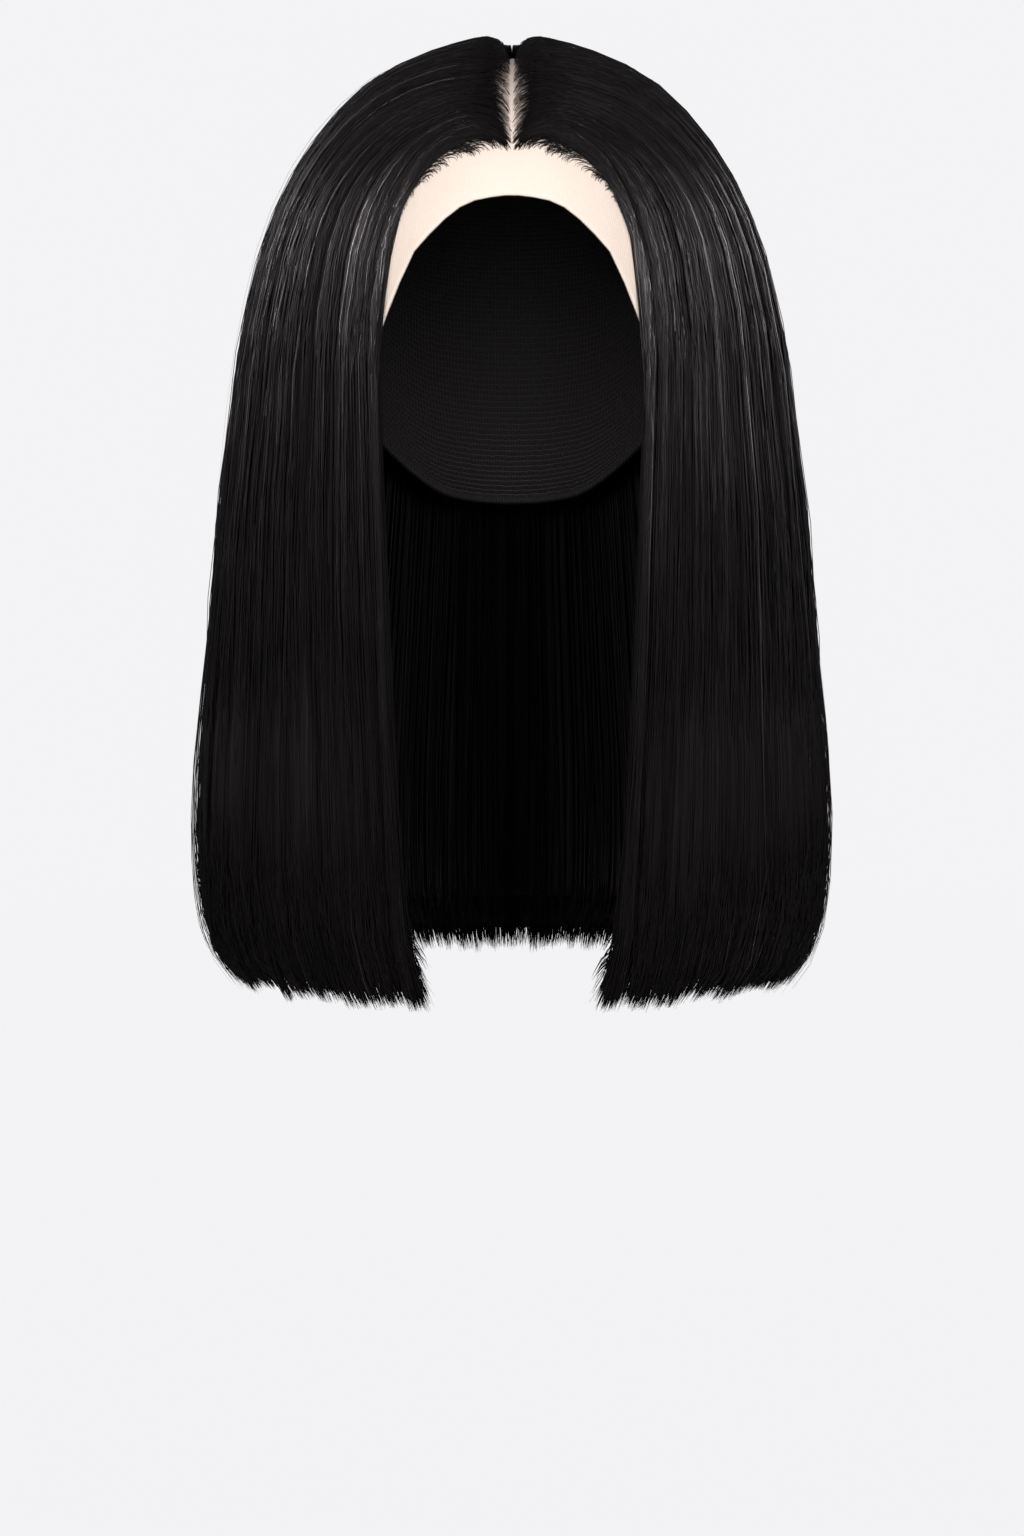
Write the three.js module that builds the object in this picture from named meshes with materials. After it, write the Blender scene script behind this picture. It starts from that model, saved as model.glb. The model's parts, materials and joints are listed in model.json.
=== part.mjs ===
// A straight shoulder-length bob wig with a centre parting and a blunt hem.
// It is built as a lace-front wig is: a sheer lace front and a net crown cap
// make a hollow cap, and sections of hair are fastened to it.
// Millimetres, +Z up. The wig faces -Y. The origin is the inside of the cap at
// the crown, where the top of a head touches it.
import * as THREE from "three";

// The head that the cap fits: half breadth, half length, and how far its widest
// level lies below the crown and above the foot of the skull.
const headHalfBreadth = 78;
const headHalfLength = 99;
const headCrownHeight = 92;
const headFootHeight = 115;

// The cap
const laceWall = 1;
const netWall = 1.2;
const seamGap = 0.4;
const laceEdgeDrop = 59; // the lace's edge at the middle of the forehead
const earTabDrop = 140; // the lowest point of the tab in front of each ear
const earArchDrop = 117; // the top of the arch over each ear
const napeAboveFoot = 38; // the cap's edge at the nape, above the foot of the skull

// The hair, as it hangs
const crestRise = 7; // the crest beside the parting, above the origin
const templeDrop = 110; // from the crest to where the hair hangs free
const hangLength = 254; // from there to the hem
const sideFullness = 46.6; // how far the hair stands out beside the head
const backFullness = 18; // and behind it
const curtainSetback = 13; // how far the front curtains hang behind the forehead
const faceHalfWidth = 50; // half of the opening between the two curtains
const widestSet = 10; // how far behind the origin the hair is widest
const hairWall = 17; // the thickest part of the hanging hair
const hairlineDip = 14; // how far the hairline lies below the rolled front edge
const hairlineSpread = 0.12; // how far round the hair the dip and the thin edge run
const edgeThinness = 0.5; // the wall at the front edge, a share of the wall beside it
const lockDepth = 2.2; // the grooves between locks, at the hem
const hemCut = 3; // how unevenly the locks end
const planPower = 2.2; // 2 gives an ellipse in plan, more a squarer outline
const rootHeight = 1.6; // the hair's thickness at its roots
const hairClearance = 0.9; // between the cap and the hair that lies on it
const sectionGap = 0.5; // between neighbouring sections of hair

// The nape hair, which hangs inside the back sections
const napeWall = 8;
const napeTop = 6.6; // in rows of the table below
const napeStart = 0.6; // in shares of the way from the front edge to the back
const napeClearance = 1.8; // inside the sections that hang over it
const napeEndRows = 0.35; // in rows, above the hem

// One row for each level of the hair, from the parting to the hem.
// drop: how far it lies below the crest at the side, a share of templeDrop.
// hang: and below the temples, a share of hangLength.
// half, back: how far it reaches to the side and back, as shares of the head's
//   half breadth and half length with the fullness added.
// set: how far back it is widest, a share of widestSet.   wall: a share of hairWall.
const levels = [
  { drop: 0.04, hang: 0, half: 0.012, back: 0.02, set: -1.2, wall: 0.3 },
  { drop: 0.0, hang: 0, half: 0.11, back: 0.11, set: -1.0, wall: 0.5 },
  { drop: 0.03, hang: 0, half: 0.25, back: 0.26, set: -0.6, wall: 0.75 },
  { drop: 0.14, hang: 0, half: 0.452, back: 0.54, set: 0.0, wall: 1.0 },
  { drop: 0.36, hang: 0, half: 0.63, back: 0.79, set: 0.4, wall: 1.2 },
  { drop: 0.64, hang: 0, half: 0.755, back: 0.935, set: 0.7, wall: 1.2 },
  { drop: 1, hang: 0, half: 0.841, back: 0.985, set: 0.85, wall: 1.0 },
  { drop: 1, hang: 0.2, half: 0.906, back: 1.0, set: 0.9, wall: 0.88 },
  { drop: 1, hang: 0.435, half: 0.952, back: 0.99, set: 1.0, wall: 0.78 },
  { drop: 1, hang: 0.68, half: 1.0, back: 0.965, set: 1.0, wall: 0.7 },
  { drop: 1, hang: 0.84, half: 0.994, back: 0.935, set: 1.0, wall: 0.64 },
  { drop: 1, hang: 0.94, half: 0.953, back: 0.885, set: 0.9, wall: 0.58 },
  { drop: 1, hang: 1, half: 0.872, back: 0.82, set: 0.7, wall: 0.5 },
];
// The front edge at the same levels.
// out: its distance from the middle, a share of faceHalfWidth.
// front: how far forward it hangs, a share of the curtains' reach.
// drop: below the crest, a share of templeDrop.
// dip: how far the hairline lies under it, a share of hairlineDip.
const frontEdges = [
  { out: 0.014, front: 0.97, drop: 0.43, dip: 0.2 },
  { out: 0.12, front: 0.93, drop: 0.37, dip: 0.66 },
  { out: 0.29, front: 0.9, drop: 0.34, dip: 1.0 },
  { out: 0.53, front: 0.89, drop: 0.39, dip: 1.0 },
  { out: 0.75, front: 0.92, drop: 0.51, dip: 0.75 },
  { out: 0.9, front: 0.965, drop: 0.69, dip: 0.36 },
  { out: 0.98, front: 0.99, drop: 1, dip: 0 },
  { out: 0.97, front: 1.0, drop: 1, dip: 0 },
  { out: 0.92, front: 1.0, drop: 1, dip: 0 },
  { out: 0.87, front: 0.99, drop: 1, dip: 0 },
  { out: 0.82, front: 0.97, drop: 1, dip: 0 },
  { out: 0.76, front: 0.935, drop: 1, dip: 0 },
  { out: 0.66, front: 0.9, drop: 1, dip: 0 },
];

// The locks of each half, from the front edge to the middle of the back: the
// width of each one against its neighbours', and how much shorter it is cut.
const locks = [
  { width: 0.8, cut: 0.2 }, { width: 1.1, cut: 0.0 }, { width: 0.9, cut: 0.7 },
  { width: 1.2, cut: 0.3 }, { width: 0.9, cut: 1.0 }, { width: 1.1, cut: 0.4 },
  { width: 1.0, cut: 0.8 }, { width: 1.2, cut: 0.1 }, { width: 0.8, cut: 0.6 },
  { width: 1.1, cut: 0.9 }, { width: 1.0, cut: 0.3 }, { width: 1.2, cut: 0.7 },
  { width: 0.9, cut: 0.0 }, { width: 1.1, cut: 0.8 }, { width: 1.0, cut: 0.4 },
  { width: 0.9, cut: 0.1 },
];
// The sections that each half of the hair is made in, by their first and last locks.
const sections = [
  { name: "front_curtain", first: 0, last: 6 },
  { name: "side_hair", first: 6, last: 11 },
  { name: "back_hair", first: 11, last: 16 },
];

const headCentreZ = -headCrownHeight;
const napeDrop = headCrownHeight + headFootHeight - napeAboveFoot;
const hairHalfWidth = headHalfBreadth + sideFullness;
const backReach = headHalfLength + backFullness;
const curtainReach = headHalfLength - curtainSetback;
const onCap = Math.max(laceWall, netWall) + hairClearance; // where hair lies on the cap
const stepsPerLock = 3;
const stationsPerDomeRow = 2; // the curved rows over the head are halved
const domeRows = 8;
const capRows = 6; // rows that lie on the cap
const capSteps = 24;
const capRings = 10;
const rightSide = 1;
const leftSide = -1;
const quarterTurn = Math.PI / 2;

// The cap's edge, by the angle round the head from the forehead, in degrees.
// Each drop is a share of the way from one named drop to another.
const edgeOfLace = [
  { angle: 0, from: laceEdgeDrop, to: earTabDrop, share: 0.0 },
  { angle: 14, from: laceEdgeDrop, to: earTabDrop, share: 0.05 },
  { angle: 27, from: laceEdgeDrop, to: earTabDrop, share: 0.24 },
  { angle: 34, from: laceEdgeDrop, to: earTabDrop, share: 0.47 },
  { angle: 44, from: laceEdgeDrop, to: earTabDrop, share: 0.75 },
  { angle: 56, from: laceEdgeDrop, to: earTabDrop, share: 0.97 },
  { angle: 70, from: laceEdgeDrop, to: earTabDrop, share: 1.0 },
  { angle: 82, from: earTabDrop, to: earArchDrop, share: 0.6 },
  { angle: 90, from: earTabDrop, to: earArchDrop, share: 1.0 },
];
const edgeOfNet = [
  { angle: 90, from: earArchDrop, to: napeDrop, share: 0.0 },
  { angle: 104, from: earArchDrop, to: napeDrop, share: 0.02 },
  { angle: 118, from: earArchDrop, to: napeDrop, share: 0.24 },
  { angle: 134, from: earArchDrop, to: napeDrop, share: 0.62 },
  { angle: 150, from: earArchDrop, to: napeDrop, share: 0.9 },
  { angle: 165, from: earArchDrop, to: napeDrop, share: 0.98 },
  { angle: 180, from: earArchDrop, to: napeDrop, share: 1.0 },
];

// A value of one column at a place between two rows of a table, on a smooth curve.
function between(rows, column, place) {
  const last = rows.length - 1;
  const k = Math.min(Math.floor(place), last - 1);
  const value = (i) => rows[Math.min(Math.max(i, 0), last)][column];
  const t = place - k;
  const before = k > 0 ? value(k - 1) : 2 * value(0) - value(1);
  const after = k + 2 <= last ? value(k + 2) : 2 * value(last) - value(last - 1);
  const pull = (value(k + 1) - before) / 2;
  const push = (after - value(k)) / 2;
  const rise = value(k + 1) - value(k);
  return value(k) + t * (pull + t * (3 * rise - 2 * pull - push + t * (pull + push - 2 * rise)));
}

// The head's form, grown by some millimetres, as the size of a point against it:
// under 1 inside and over 1 outside.
function sizeAgainstHead(point, growth) {
  const height = point.z > headCentreZ ? headCrownHeight : headFootHeight;
  return Math.hypot(
    point.x / (headHalfBreadth + growth),
    point.y / (headHalfLength + growth),
    (point.z - headCentreZ) / (height + growth),
  );
}

// Moves a point along the line from the middle of the head onto the grown head.
function laidOnHead(point, growth) {
  const centre = new THREE.Vector3(0, 0, headCentreZ);
  return point.clone().sub(centre).divideScalar(sizeAgainstHead(point, growth)).add(centre);
}

function keptOffHead(point, growth) {
  return sizeAgainstHead(point, growth) < 1 ? laidOnHead(point, growth) : point;
}

// How high a level lies, with its drop over the head from either table.
function levelHeight(rows, row) {
  return crestRise - templeDrop * between(rows, "drop", row) - hangLength * between(levels, "hang", row);
}

// The curtain's front edge at a level, in the right half.
function frontEdge(row) {
  return new THREE.Vector3(
    faceHalfWidth * between(frontEdges, "out", row),
    -curtainReach * between(frontEdges, "front", row),
    levelHeight(frontEdges, row),
  );
}

// The outer surface of the right half before its locks are cut. around runs from
// 0 at the front edge, past 0.5 at the side, to 1 at the middle of the back.
function smoothOuter(around, row) {
  const half = hairHalfWidth * between(levels, "half", row);
  const widestY = widestSet * between(levels, "set", row);
  const sideZ = levelHeight(levels, row);
  const edge = frontEdge(row);
  const bend = 2 / planPower;
  const edgeTurn = Math.asin(Math.min(edge.x / half, 1) ** (1 / bend));
  const point = new THREE.Vector3();
  if (around < 0.5) {
    const share = around * 2;
    const turn = edgeTurn + (quarterTurn - edgeTurn) * share;
    const reach = (widestY - edge.y) / Math.cos(edgeTurn) ** bend;
    const front = (1 - share) ** 2 * (1 + 2 * share);
    point.set(
      half * Math.sin(turn) ** bend,
      widestY - reach * Math.max(Math.cos(turn), 0) ** bend,
      sideZ + (edge.z - sideZ) * front,
    );
  } else {
    const turn = quarterTurn * (around * 2 - 1);
    const back = backReach * between(levels, "back", row) - widestY;
    point.set(half * Math.max(Math.cos(turn), 0) ** bend, widestY + back * Math.sin(turn) ** bend, sideZ);
  }
  return row === 0 ? laidOnHead(point, onCap + rootHeight) : keptOffHead(point, onCap + rootHeight);
}

// The outward direction of the smooth outer surface.
function outward(around, row) {
  const step = 0.02;
  const a = Math.min(Math.max(around, step), 1 - step);
  const r = Math.min(Math.max(row, step), levels.length - 1 - step);
  const across = smoothOuter(a + step, r).sub(smoothOuter(a - step, r));
  const along = smoothOuter(a, r + step).sub(smoothOuter(a, r - step));
  return along.cross(across).normalize();
}

const lockTotal = locks.reduce((sum, lock) => sum + lock.width, 0);

// The place round the hair of a lock's first edge, or of a point within it.
function lockPlace(index, within = 0) {
  const before = locks.slice(0, index).reduce((sum, lock) => sum + lock.width, 0);
  const own = index < locks.length ? locks[index].width : 0;
  return (before + own * within) / lockTotal;
}

// The hair's outer surface with the grooves between its locks and its uneven hem.
function hairOuter(around, row, groove, cut) {
  const last = levels.length - 1;
  const depth = lockDepth * (row / last) * groove;
  const point = smoothOuter(around, row).addScaledVector(outward(around, row), -depth);
  point.z += hemCut * cut * Math.max(0, row - (last - 1));
  return keptOffHead(point, onCap + rootHeight / 2);
}

// The hair's inner surface: on the cap over the head, and free below it. At the
// front edge it runs down to the hairline.
function hairInner(around, row, cut) {
  const last = levels.length - 1;
  const thinEdge = edgeThinness + (1 - edgeThinness) * Math.min(around / hairlineSpread, 1);
  const wall = hairWall * between(levels, "wall", row) * thinEdge;
  const point = smoothOuter(around, row).addScaledVector(outward(around, row), -wall);
  point.z += hemCut * cut * Math.max(0, row - (last - 1));
  const nearEdge = Math.max(1 - around / hairlineSpread, 0);
  const dip = hairlineDip * Math.max(between(frontEdges, "dip", row), 0) * nearEdge;
  point.z -= dip;
  const rooted = row === 0 || (row < capRows - 0.5 && dip > 0);
  return rooted ? laidOnHead(point, onCap) : keptOffHead(point, onCap);
}

// A closed wall between two grids of points with the same rows and columns.
function wallBetween(outer, inner, mirrored) {
  const rows = outer.length;
  const columns = outer[0].length;
  const points = [...outer.flat(), ...inner.flat()];
  const at = (side, i, j) => side * rows * columns + i * columns + j;
  const faces = [];
  const quad = (a, b, c, d) => {
    const order = mirrored ? [a, c, b, a, d, c] : [a, b, c, a, c, d];
    faces.push(...order);
  };
  for (let i = 0; i < rows - 1; i++) {
    for (let j = 0; j < columns - 1; j++) {
      quad(at(0, i, j), at(0, i + 1, j), at(0, i + 1, j + 1), at(0, i, j + 1));
      quad(at(1, i, j), at(1, i, j + 1), at(1, i + 1, j + 1), at(1, i + 1, j));
    }
    quad(at(0, i + 1, 0), at(0, i, 0), at(1, i, 0), at(1, i + 1, 0));
    quad(at(0, i, columns - 1), at(0, i + 1, columns - 1), at(1, i + 1, columns - 1), at(1, i, columns - 1));
  }
  for (let j = 0; j < columns - 1; j++) {
    quad(at(0, 0, j), at(0, 0, j + 1), at(1, 0, j + 1), at(1, 0, j));
    quad(at(0, rows - 1, j + 1), at(0, rows - 1, j), at(1, rows - 1, j), at(1, rows - 1, j + 1));
  }
  const geometry = new THREE.BufferGeometry();
  geometry.setAttribute("position", new THREE.Float32BufferAttribute(points.flatMap((p) => [p.x, p.y, p.z]), 3));
  geometry.setIndex(faces);
  geometry.computeVertexNormals();
  return geometry;
}

// The rows at which the hair is sectioned, closer together over the head.
function stations(from) {
  const places = [];
  for (let row = 0; row < levels.length - 1; row++) {
    const parts = row > 0 && row < domeRows ? stationsPerDomeRow : 1;
    for (let part = 0; part < parts; part++) places.push(row + part / parts);
  }
  places.push(levels.length - 1);
  return [from, ...places.filter((place) => place > from + 0.2)];
}

// One section of hair of one side: its locks side by side, fused in one wall.
function hairSection({ first, last }, side) {
  const columns = [];
  for (let lock = first; lock < last; lock++) {
    for (let step = 0; step < stepsPerLock; step++) {
      const shared = step === 0 && lock > first;
      const neighbour = shared ? locks[lock - 1].cut : locks[lock].cut;
      columns.push({
        around: lockPlace(lock, step / stepsPerLock),
        groove: step === 0 ? 1 : 0,
        cut: (neighbour + locks[lock].cut) / 2,
      });
    }
  }
  columns.push({ around: lockPlace(last), groove: 1, cut: locks[last - 1].cut });
  const inset = (point, next, way) => {
    const across = next.clone().sub(point);
    return point.clone().addScaledVector(across, (way * sectionGap) / 2 / Math.max(across.length(), sectionGap));
  };
  const grid = (surface) =>
    stations(0).map((row) => {
      const line = columns.map((column) => surface(column, row));
      const end = line.length - 1;
      const middle = (point) => point.setX(Math.max(point.x, sectionGap / 2));
      if (first > 0) line[0] = inset(line[0], line[1], 1);
      if (last < locks.length) line[end] = inset(line[end], line[end - 1], 1);
      return line.map((point) => middle(point)).map((point) => point.setX(point.x * side));
    });
  const outer = grid(({ around, groove, cut }, row) => hairOuter(around, row, groove, cut));
  const inner = grid(({ around, cut }, row) => hairInner(around, row, cut));
  return wallBetween(outer, inner, side === leftSide);
}

// The lowest hair, sewn along the nape: one curved wall inside the back sections.
function napeHair() {
  const halfSteps = 12;
  const arounds = [];
  for (let step = -halfSteps; step <= halfSteps; step++) {
    const around = 1 - (1 - napeStart) * (Math.abs(step) / halfSteps);
    arounds.push({ around, side: step < 0 ? leftSide : rightSide });
  }
  const end = levels.length - 1 - napeEndRows;
  const rows = [...stations(napeTop).filter((row) => row < end - 0.2), end];
  const lay = (depth) =>
    rows.map((row) =>
      arounds.map(({ around, side }) => {
        const deeper = hairInner(around, row, 0).addScaledVector(outward(around, row), -depth);
        if (around > 1 - 1e-6) deeper.setX(0);
        const point = keptOffHead(deeper, onCap);
        return point.setX(point.x * side);
      }),
    );
  return wallBetween(lay(napeClearance), lay(napeClearance + napeWall), true);
}

// A point of the cap: angle round the head from the forehead, and how far down
// from the crown, as a share of the way to the cap's edge.
function capPoint(angle, share, edge, growth) {
  const degrees = THREE.MathUtils.radToDeg(Math.abs(angle));
  const next = Math.max(1, edge.findIndex((mark) => mark.angle >= degrees - 1e-6));
  const drops = edge.map((mark) => ({ drop: mark.from + (mark.to - mark.from) * mark.share }));
  const within = (degrees - edge[next - 1].angle) / (edge[next].angle - edge[next - 1].angle);
  const edgeZ = -between(drops, "drop", next - 1 + Math.min(Math.max(within, 0), 1)) - headCentreZ;
  const tilt = Math.acos(edgeZ / (edgeZ > 0 ? headCrownHeight : headFootHeight)) * share;
  const height = tilt < quarterTurn ? headCrownHeight : headFootHeight;
  return new THREE.Vector3(
    (headHalfBreadth + growth) * Math.sin(tilt) * Math.sin(angle),
    -(headHalfLength + growth) * Math.sin(tilt) * Math.cos(angle),
    headCentreZ + (height + growth) * Math.cos(tilt),
  );
}

// Half of the cap, before or behind the seam that runs from ear to ear.
function capHalf(edge, startAngle, wall, shiftY) {
  const crown = 0.004; // the rings start this near to the crown
  const sheet = (growth) => {
    const rings = [];
    for (let ring = 0; ring <= capRings; ring++) {
      const share = crown + ((1 - crown) * ring) / capRings;
      const line = [];
      for (let step = 0; step <= capSteps; step++) {
        const angle = startAngle + (Math.PI * step) / capSteps;
        const folded = Math.abs(Math.atan2(Math.sin(angle), Math.cos(angle)));
        const point = capPoint(folded, share, edge, growth);
        line.push(point.set(Math.sign(Math.sin(angle)) * point.x, point.y + shiftY, point.z));
      }
      rings.push(line);
    }
    return rings;
  };
  return wallBetween(sheet(wall), sheet(0), false);
}

function named(name, geometry, material) {
  const mesh = new THREE.Mesh(geometry, material);
  mesh.name = name;
  return mesh;
}

const lace = new THREE.MeshStandardMaterial({ color: 0xf3d9c4, roughness: 0.75, metalness: 0 });
const net = new THREE.MeshStandardMaterial({ color: 0x2a2422, roughness: 0.85, metalness: 0 });
const hair = new THREE.MeshStandardMaterial({ color: 0x1b1718, roughness: 0.4, metalness: 0 });

const wig = new THREE.Group();
wig.add(named("lace_front", capHalf(edgeOfLace, -quarterTurn, laceWall, -seamGap / 2), lace));
wig.add(named("crown_cap", capHalf(edgeOfNet, quarterTurn, netWall, seamGap / 2), net));
for (const { name, ...locksOf } of sections) {
  wig.add(named(`${name}_left`, hairSection(locksOf, leftSide), hair));
  wig.add(named(`${name}_right`, hairSection(locksOf, rightSide), hair));
}
wig.add(named("nape_hair", napeHair(), hair));

export default wig;
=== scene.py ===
"""The looks of a long straight bob wig with a centre parting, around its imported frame.

The hair is a mass for each section, with fine closed strands over it, at its
cut edges and along its hairline. The lace front and the net cap are thin
shells. Sizes in the tables are shares of the named sizes, in millimetres, and
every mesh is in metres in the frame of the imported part.
"""

import json
import logging
import math
from dataclasses import dataclass, field
from enum import Enum
from functools import cache

import bpy
import numpy as np
from bpy.types import Material, Mesh, Node, NodeSocket, NodeTree, Object
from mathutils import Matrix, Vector

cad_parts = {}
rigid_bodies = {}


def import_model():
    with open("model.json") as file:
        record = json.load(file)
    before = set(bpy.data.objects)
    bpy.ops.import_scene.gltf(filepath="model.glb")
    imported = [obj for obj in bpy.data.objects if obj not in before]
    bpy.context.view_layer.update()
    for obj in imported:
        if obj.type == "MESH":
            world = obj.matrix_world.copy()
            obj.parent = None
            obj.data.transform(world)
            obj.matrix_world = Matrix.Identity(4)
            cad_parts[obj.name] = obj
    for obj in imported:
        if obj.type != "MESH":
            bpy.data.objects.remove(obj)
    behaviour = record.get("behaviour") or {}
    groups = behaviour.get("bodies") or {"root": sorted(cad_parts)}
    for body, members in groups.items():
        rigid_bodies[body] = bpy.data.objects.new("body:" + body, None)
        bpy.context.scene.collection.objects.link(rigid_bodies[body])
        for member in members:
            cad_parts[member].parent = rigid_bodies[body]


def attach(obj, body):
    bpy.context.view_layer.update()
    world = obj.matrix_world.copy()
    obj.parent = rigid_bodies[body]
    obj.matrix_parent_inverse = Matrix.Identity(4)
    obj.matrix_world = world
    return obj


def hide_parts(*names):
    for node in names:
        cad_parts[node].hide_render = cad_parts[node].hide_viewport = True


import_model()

MM = 0.001
BODY = "root"
GOLDEN_ANGLE = 2.399963
BRIGHT_SHARE = 0.13
BRIGHT_TONE = 2.3
DULL_TONE = 0.75
RADIUS_SPREAD = 0.2
LOG = logging.getLogger("wig")
Array = np.ndarray
Random = np.random.Generator
Triple = tuple[float, float, float]
Strands = tuple[Array, Array, Array]


class Side(Enum):
    """The two halves of the wig, as the sign of their X."""

    LEFT = -1
    RIGHT = 1

    def place(self, points: Array) -> Array:
        """Returns points of the right half on this side."""
        return points * np.array([self.value, 1.0, 1.0])


class Slot(Enum):
    """The record's material slots."""

    HAIR = "hair"
    LACE = "lace"
    NET = "net"


def smooth(value: Array) -> Array:
    """Returns a value clipped to 0 and 1 and eased at both ends."""
    value = np.clip(value, 0.0, 1.0)
    return value * value * (3.0 - 2.0 * value)


def unit(vectors: Array) -> Array:
    """Returns vectors scaled to length 1 along the last axis."""
    length = np.linalg.norm(vectors, axis=-1, keepdims=True)
    return vectors / np.maximum(length, 1e-9)


def between(rows: Array, place: Array) -> Array:
    """Reads a table column at places between its rows, on a smooth curve.

    Args:
        rows: The column's values.
        place: Row numbers, which may be fractions.

    Returns:
        The values, in the shape of place.
    """
    last = len(rows) - 1
    ends = (2 * rows[0] - rows[1], 2 * rows[-1] - rows[-2])
    spread = np.concatenate([[ends[0]], rows, [ends[1]]])
    k = np.clip(np.floor(place).astype(int), 0, last - 1)
    t = place - k
    before, here, there, after = (spread[k + i] for i in range(4))
    pull = (there - before) / 2
    push = (after - here) / 2
    rise = there - here
    return here + t * (pull + t * (3 * rise - 2 * pull - push + t * (pull + push - 2 * rise)))


def scatter(place: Array, seed: float) -> Array:
    """Returns a value from 0 to 1 for each place, alike only for equal places."""
    return np.mod(np.sin(place * 9173.0 + seed) * 4375.85, 1.0)


def highlights(rng: Random, count: int) -> Array:
    """Returns what strands' tones are multiplied by: a few stand out from the rest."""
    return np.where(rng.random(count) < BRIGHT_SHARE, BRIGHT_TONE, DULL_TONE)


def radii(rng: Random, count: int, usual: float) -> Array:
    """Returns strands' radii as a column, scattered about the usual one."""
    return usual * rng.lognormal(0, RADIUS_SPREAD, count)[:, None]


def pointed(share: Array, start: float) -> Array:
    """Returns shares of a strand's thickness, which narrows from start to its tip."""
    return 1 - 0.85 * smooth((share - start) / (1 - start))


@dataclass(frozen=True)
class HeadForm:
    """The form inside the cap, in millimetres, with the crown at the origin."""

    half_breadth: float = 78.0
    half_length: float = 99.0
    crown_height: float = 92.0
    foot_height: float = 115.0

    def centre(self) -> Array:
        """Returns the middle of the form, at its widest level."""
        return np.array([0.0, 0.0, -self.crown_height])

    def size(self, points: Array, growth: float | Array) -> Array:
        """Returns each point's size against the grown form, under 1 inside it.

        Args:
            points: Points in millimetres.
            growth: Millimetres that the form is grown by.

        Returns:
            The sizes, without the points' last axis.
        """
        height = np.where(points[..., 2] > -self.crown_height, self.crown_height, self.foot_height)
        parts = [
            points[..., 0] / (self.half_breadth + growth),
            points[..., 1] / (self.half_length + growth),
            (points[..., 2] + self.crown_height) / (height + growth),
        ]
        return np.sqrt(sum(part * part for part in parts))

    def lay(self, points: Array, growth: float | Array) -> Array:
        """Returns points moved onto the grown form along lines from its middle."""
        size = np.maximum(self.size(points, growth), 1e-6)[..., None]
        return (points - self.centre()) / size + self.centre()

    def keep_off(self, points: Array, growth: float | Array) -> Array:
        """Returns points, with those inside the grown form laid onto it."""
        inside = (self.size(points, growth) < 1)[..., None]
        return np.where(inside, self.lay(points, growth), points)


# Columns: drop, hang, half, back, set, wall. The part's source says what each is.
LEVELS = np.array([
    (0.04, 0.0, 0.012, 0.02, -1.2, 0.3),
    (0.0, 0.0, 0.11, 0.11, -1.0, 0.5),
    (0.03, 0.0, 0.25, 0.26, -0.6, 0.75),
    (0.14, 0.0, 0.452, 0.54, 0.0, 1.0),
    (0.36, 0.0, 0.63, 0.79, 0.4, 1.2),
    (0.64, 0.0, 0.755, 0.935, 0.7, 1.2),
    (1.0, 0.0, 0.841, 0.985, 0.85, 1.0),
    (1.0, 0.2, 0.906, 1.0, 0.9, 0.88),
    (1.0, 0.435, 0.952, 0.99, 1.0, 0.78),
    (1.0, 0.68, 1.0, 0.965, 1.0, 0.7),
    (1.0, 0.84, 0.994, 0.935, 1.0, 0.64),
    (1.0, 0.94, 0.953, 0.885, 0.9, 0.58),
    (1.0, 1.0, 0.872, 0.82, 0.7, 0.5),
])
# Columns: out, front, drop, dip.
FRONT_EDGES = np.array([
    (0.014, 0.97, 0.43, 0.2),
    (0.12, 0.93, 0.37, 0.66),
    (0.29, 0.9, 0.34, 1.0),
    (0.53, 0.89, 0.39, 1.0),
    (0.75, 0.92, 0.51, 0.75),
    (0.9, 0.965, 0.69, 0.36),
    (0.98, 0.99, 1.0, 0.0),
    (0.97, 1.0, 1.0, 0.0),
    (0.92, 1.0, 1.0, 0.0),
    (0.87, 0.99, 1.0, 0.0),
    (0.82, 0.97, 1.0, 0.0),
    (0.76, 0.935, 1.0, 0.0),
    (0.66, 0.9, 1.0, 0.0),
])
# Columns: width, cut.
LOCKS = np.array([
    (0.8, 0.2), (1.1, 0.0), (0.9, 0.7), (1.2, 0.3), (0.9, 1.0), (1.1, 0.4),
    (1.0, 0.8), (1.2, 0.1), (0.8, 0.6), (1.1, 0.9), (1.0, 0.3), (1.2, 0.7),
    (0.9, 0.0), (1.1, 0.8), (1.0, 0.4), (0.9, 0.1),
])
LAST_ROW = len(LEVELS) - 1
LOCK_EDGES = np.concatenate([[0.0], np.cumsum(LOCKS[:, 0])]) / LOCKS[:, 0].sum()
# Painted light along the strands: at each row, a share of the strands' tone, which makes them lighter
# and glossier; it paints a highlight over the shoulder of the fall and is lowest near the parting.
PAINTED_SHEEN = np.array([0.1, 0.14, 0.17, 0.25, 0.62, 1.45, 0.7, 0.42, 0.34, 0.32, 0.34, 0.4, 0.6])


def painted_sheen(tone: Array, row: Array) -> Array:
    """Returns strands' tones at each of their points, lightest over the shoulder of the fall, where a
    highlight is painted.

    Args:
        tone: One tone for each strand.
        row: Each point's row, strands by points.

    Returns:
        The tones, in the shape of row.
    """
    return tone[:, None] * between(PAINTED_SHEEN, row)


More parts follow.
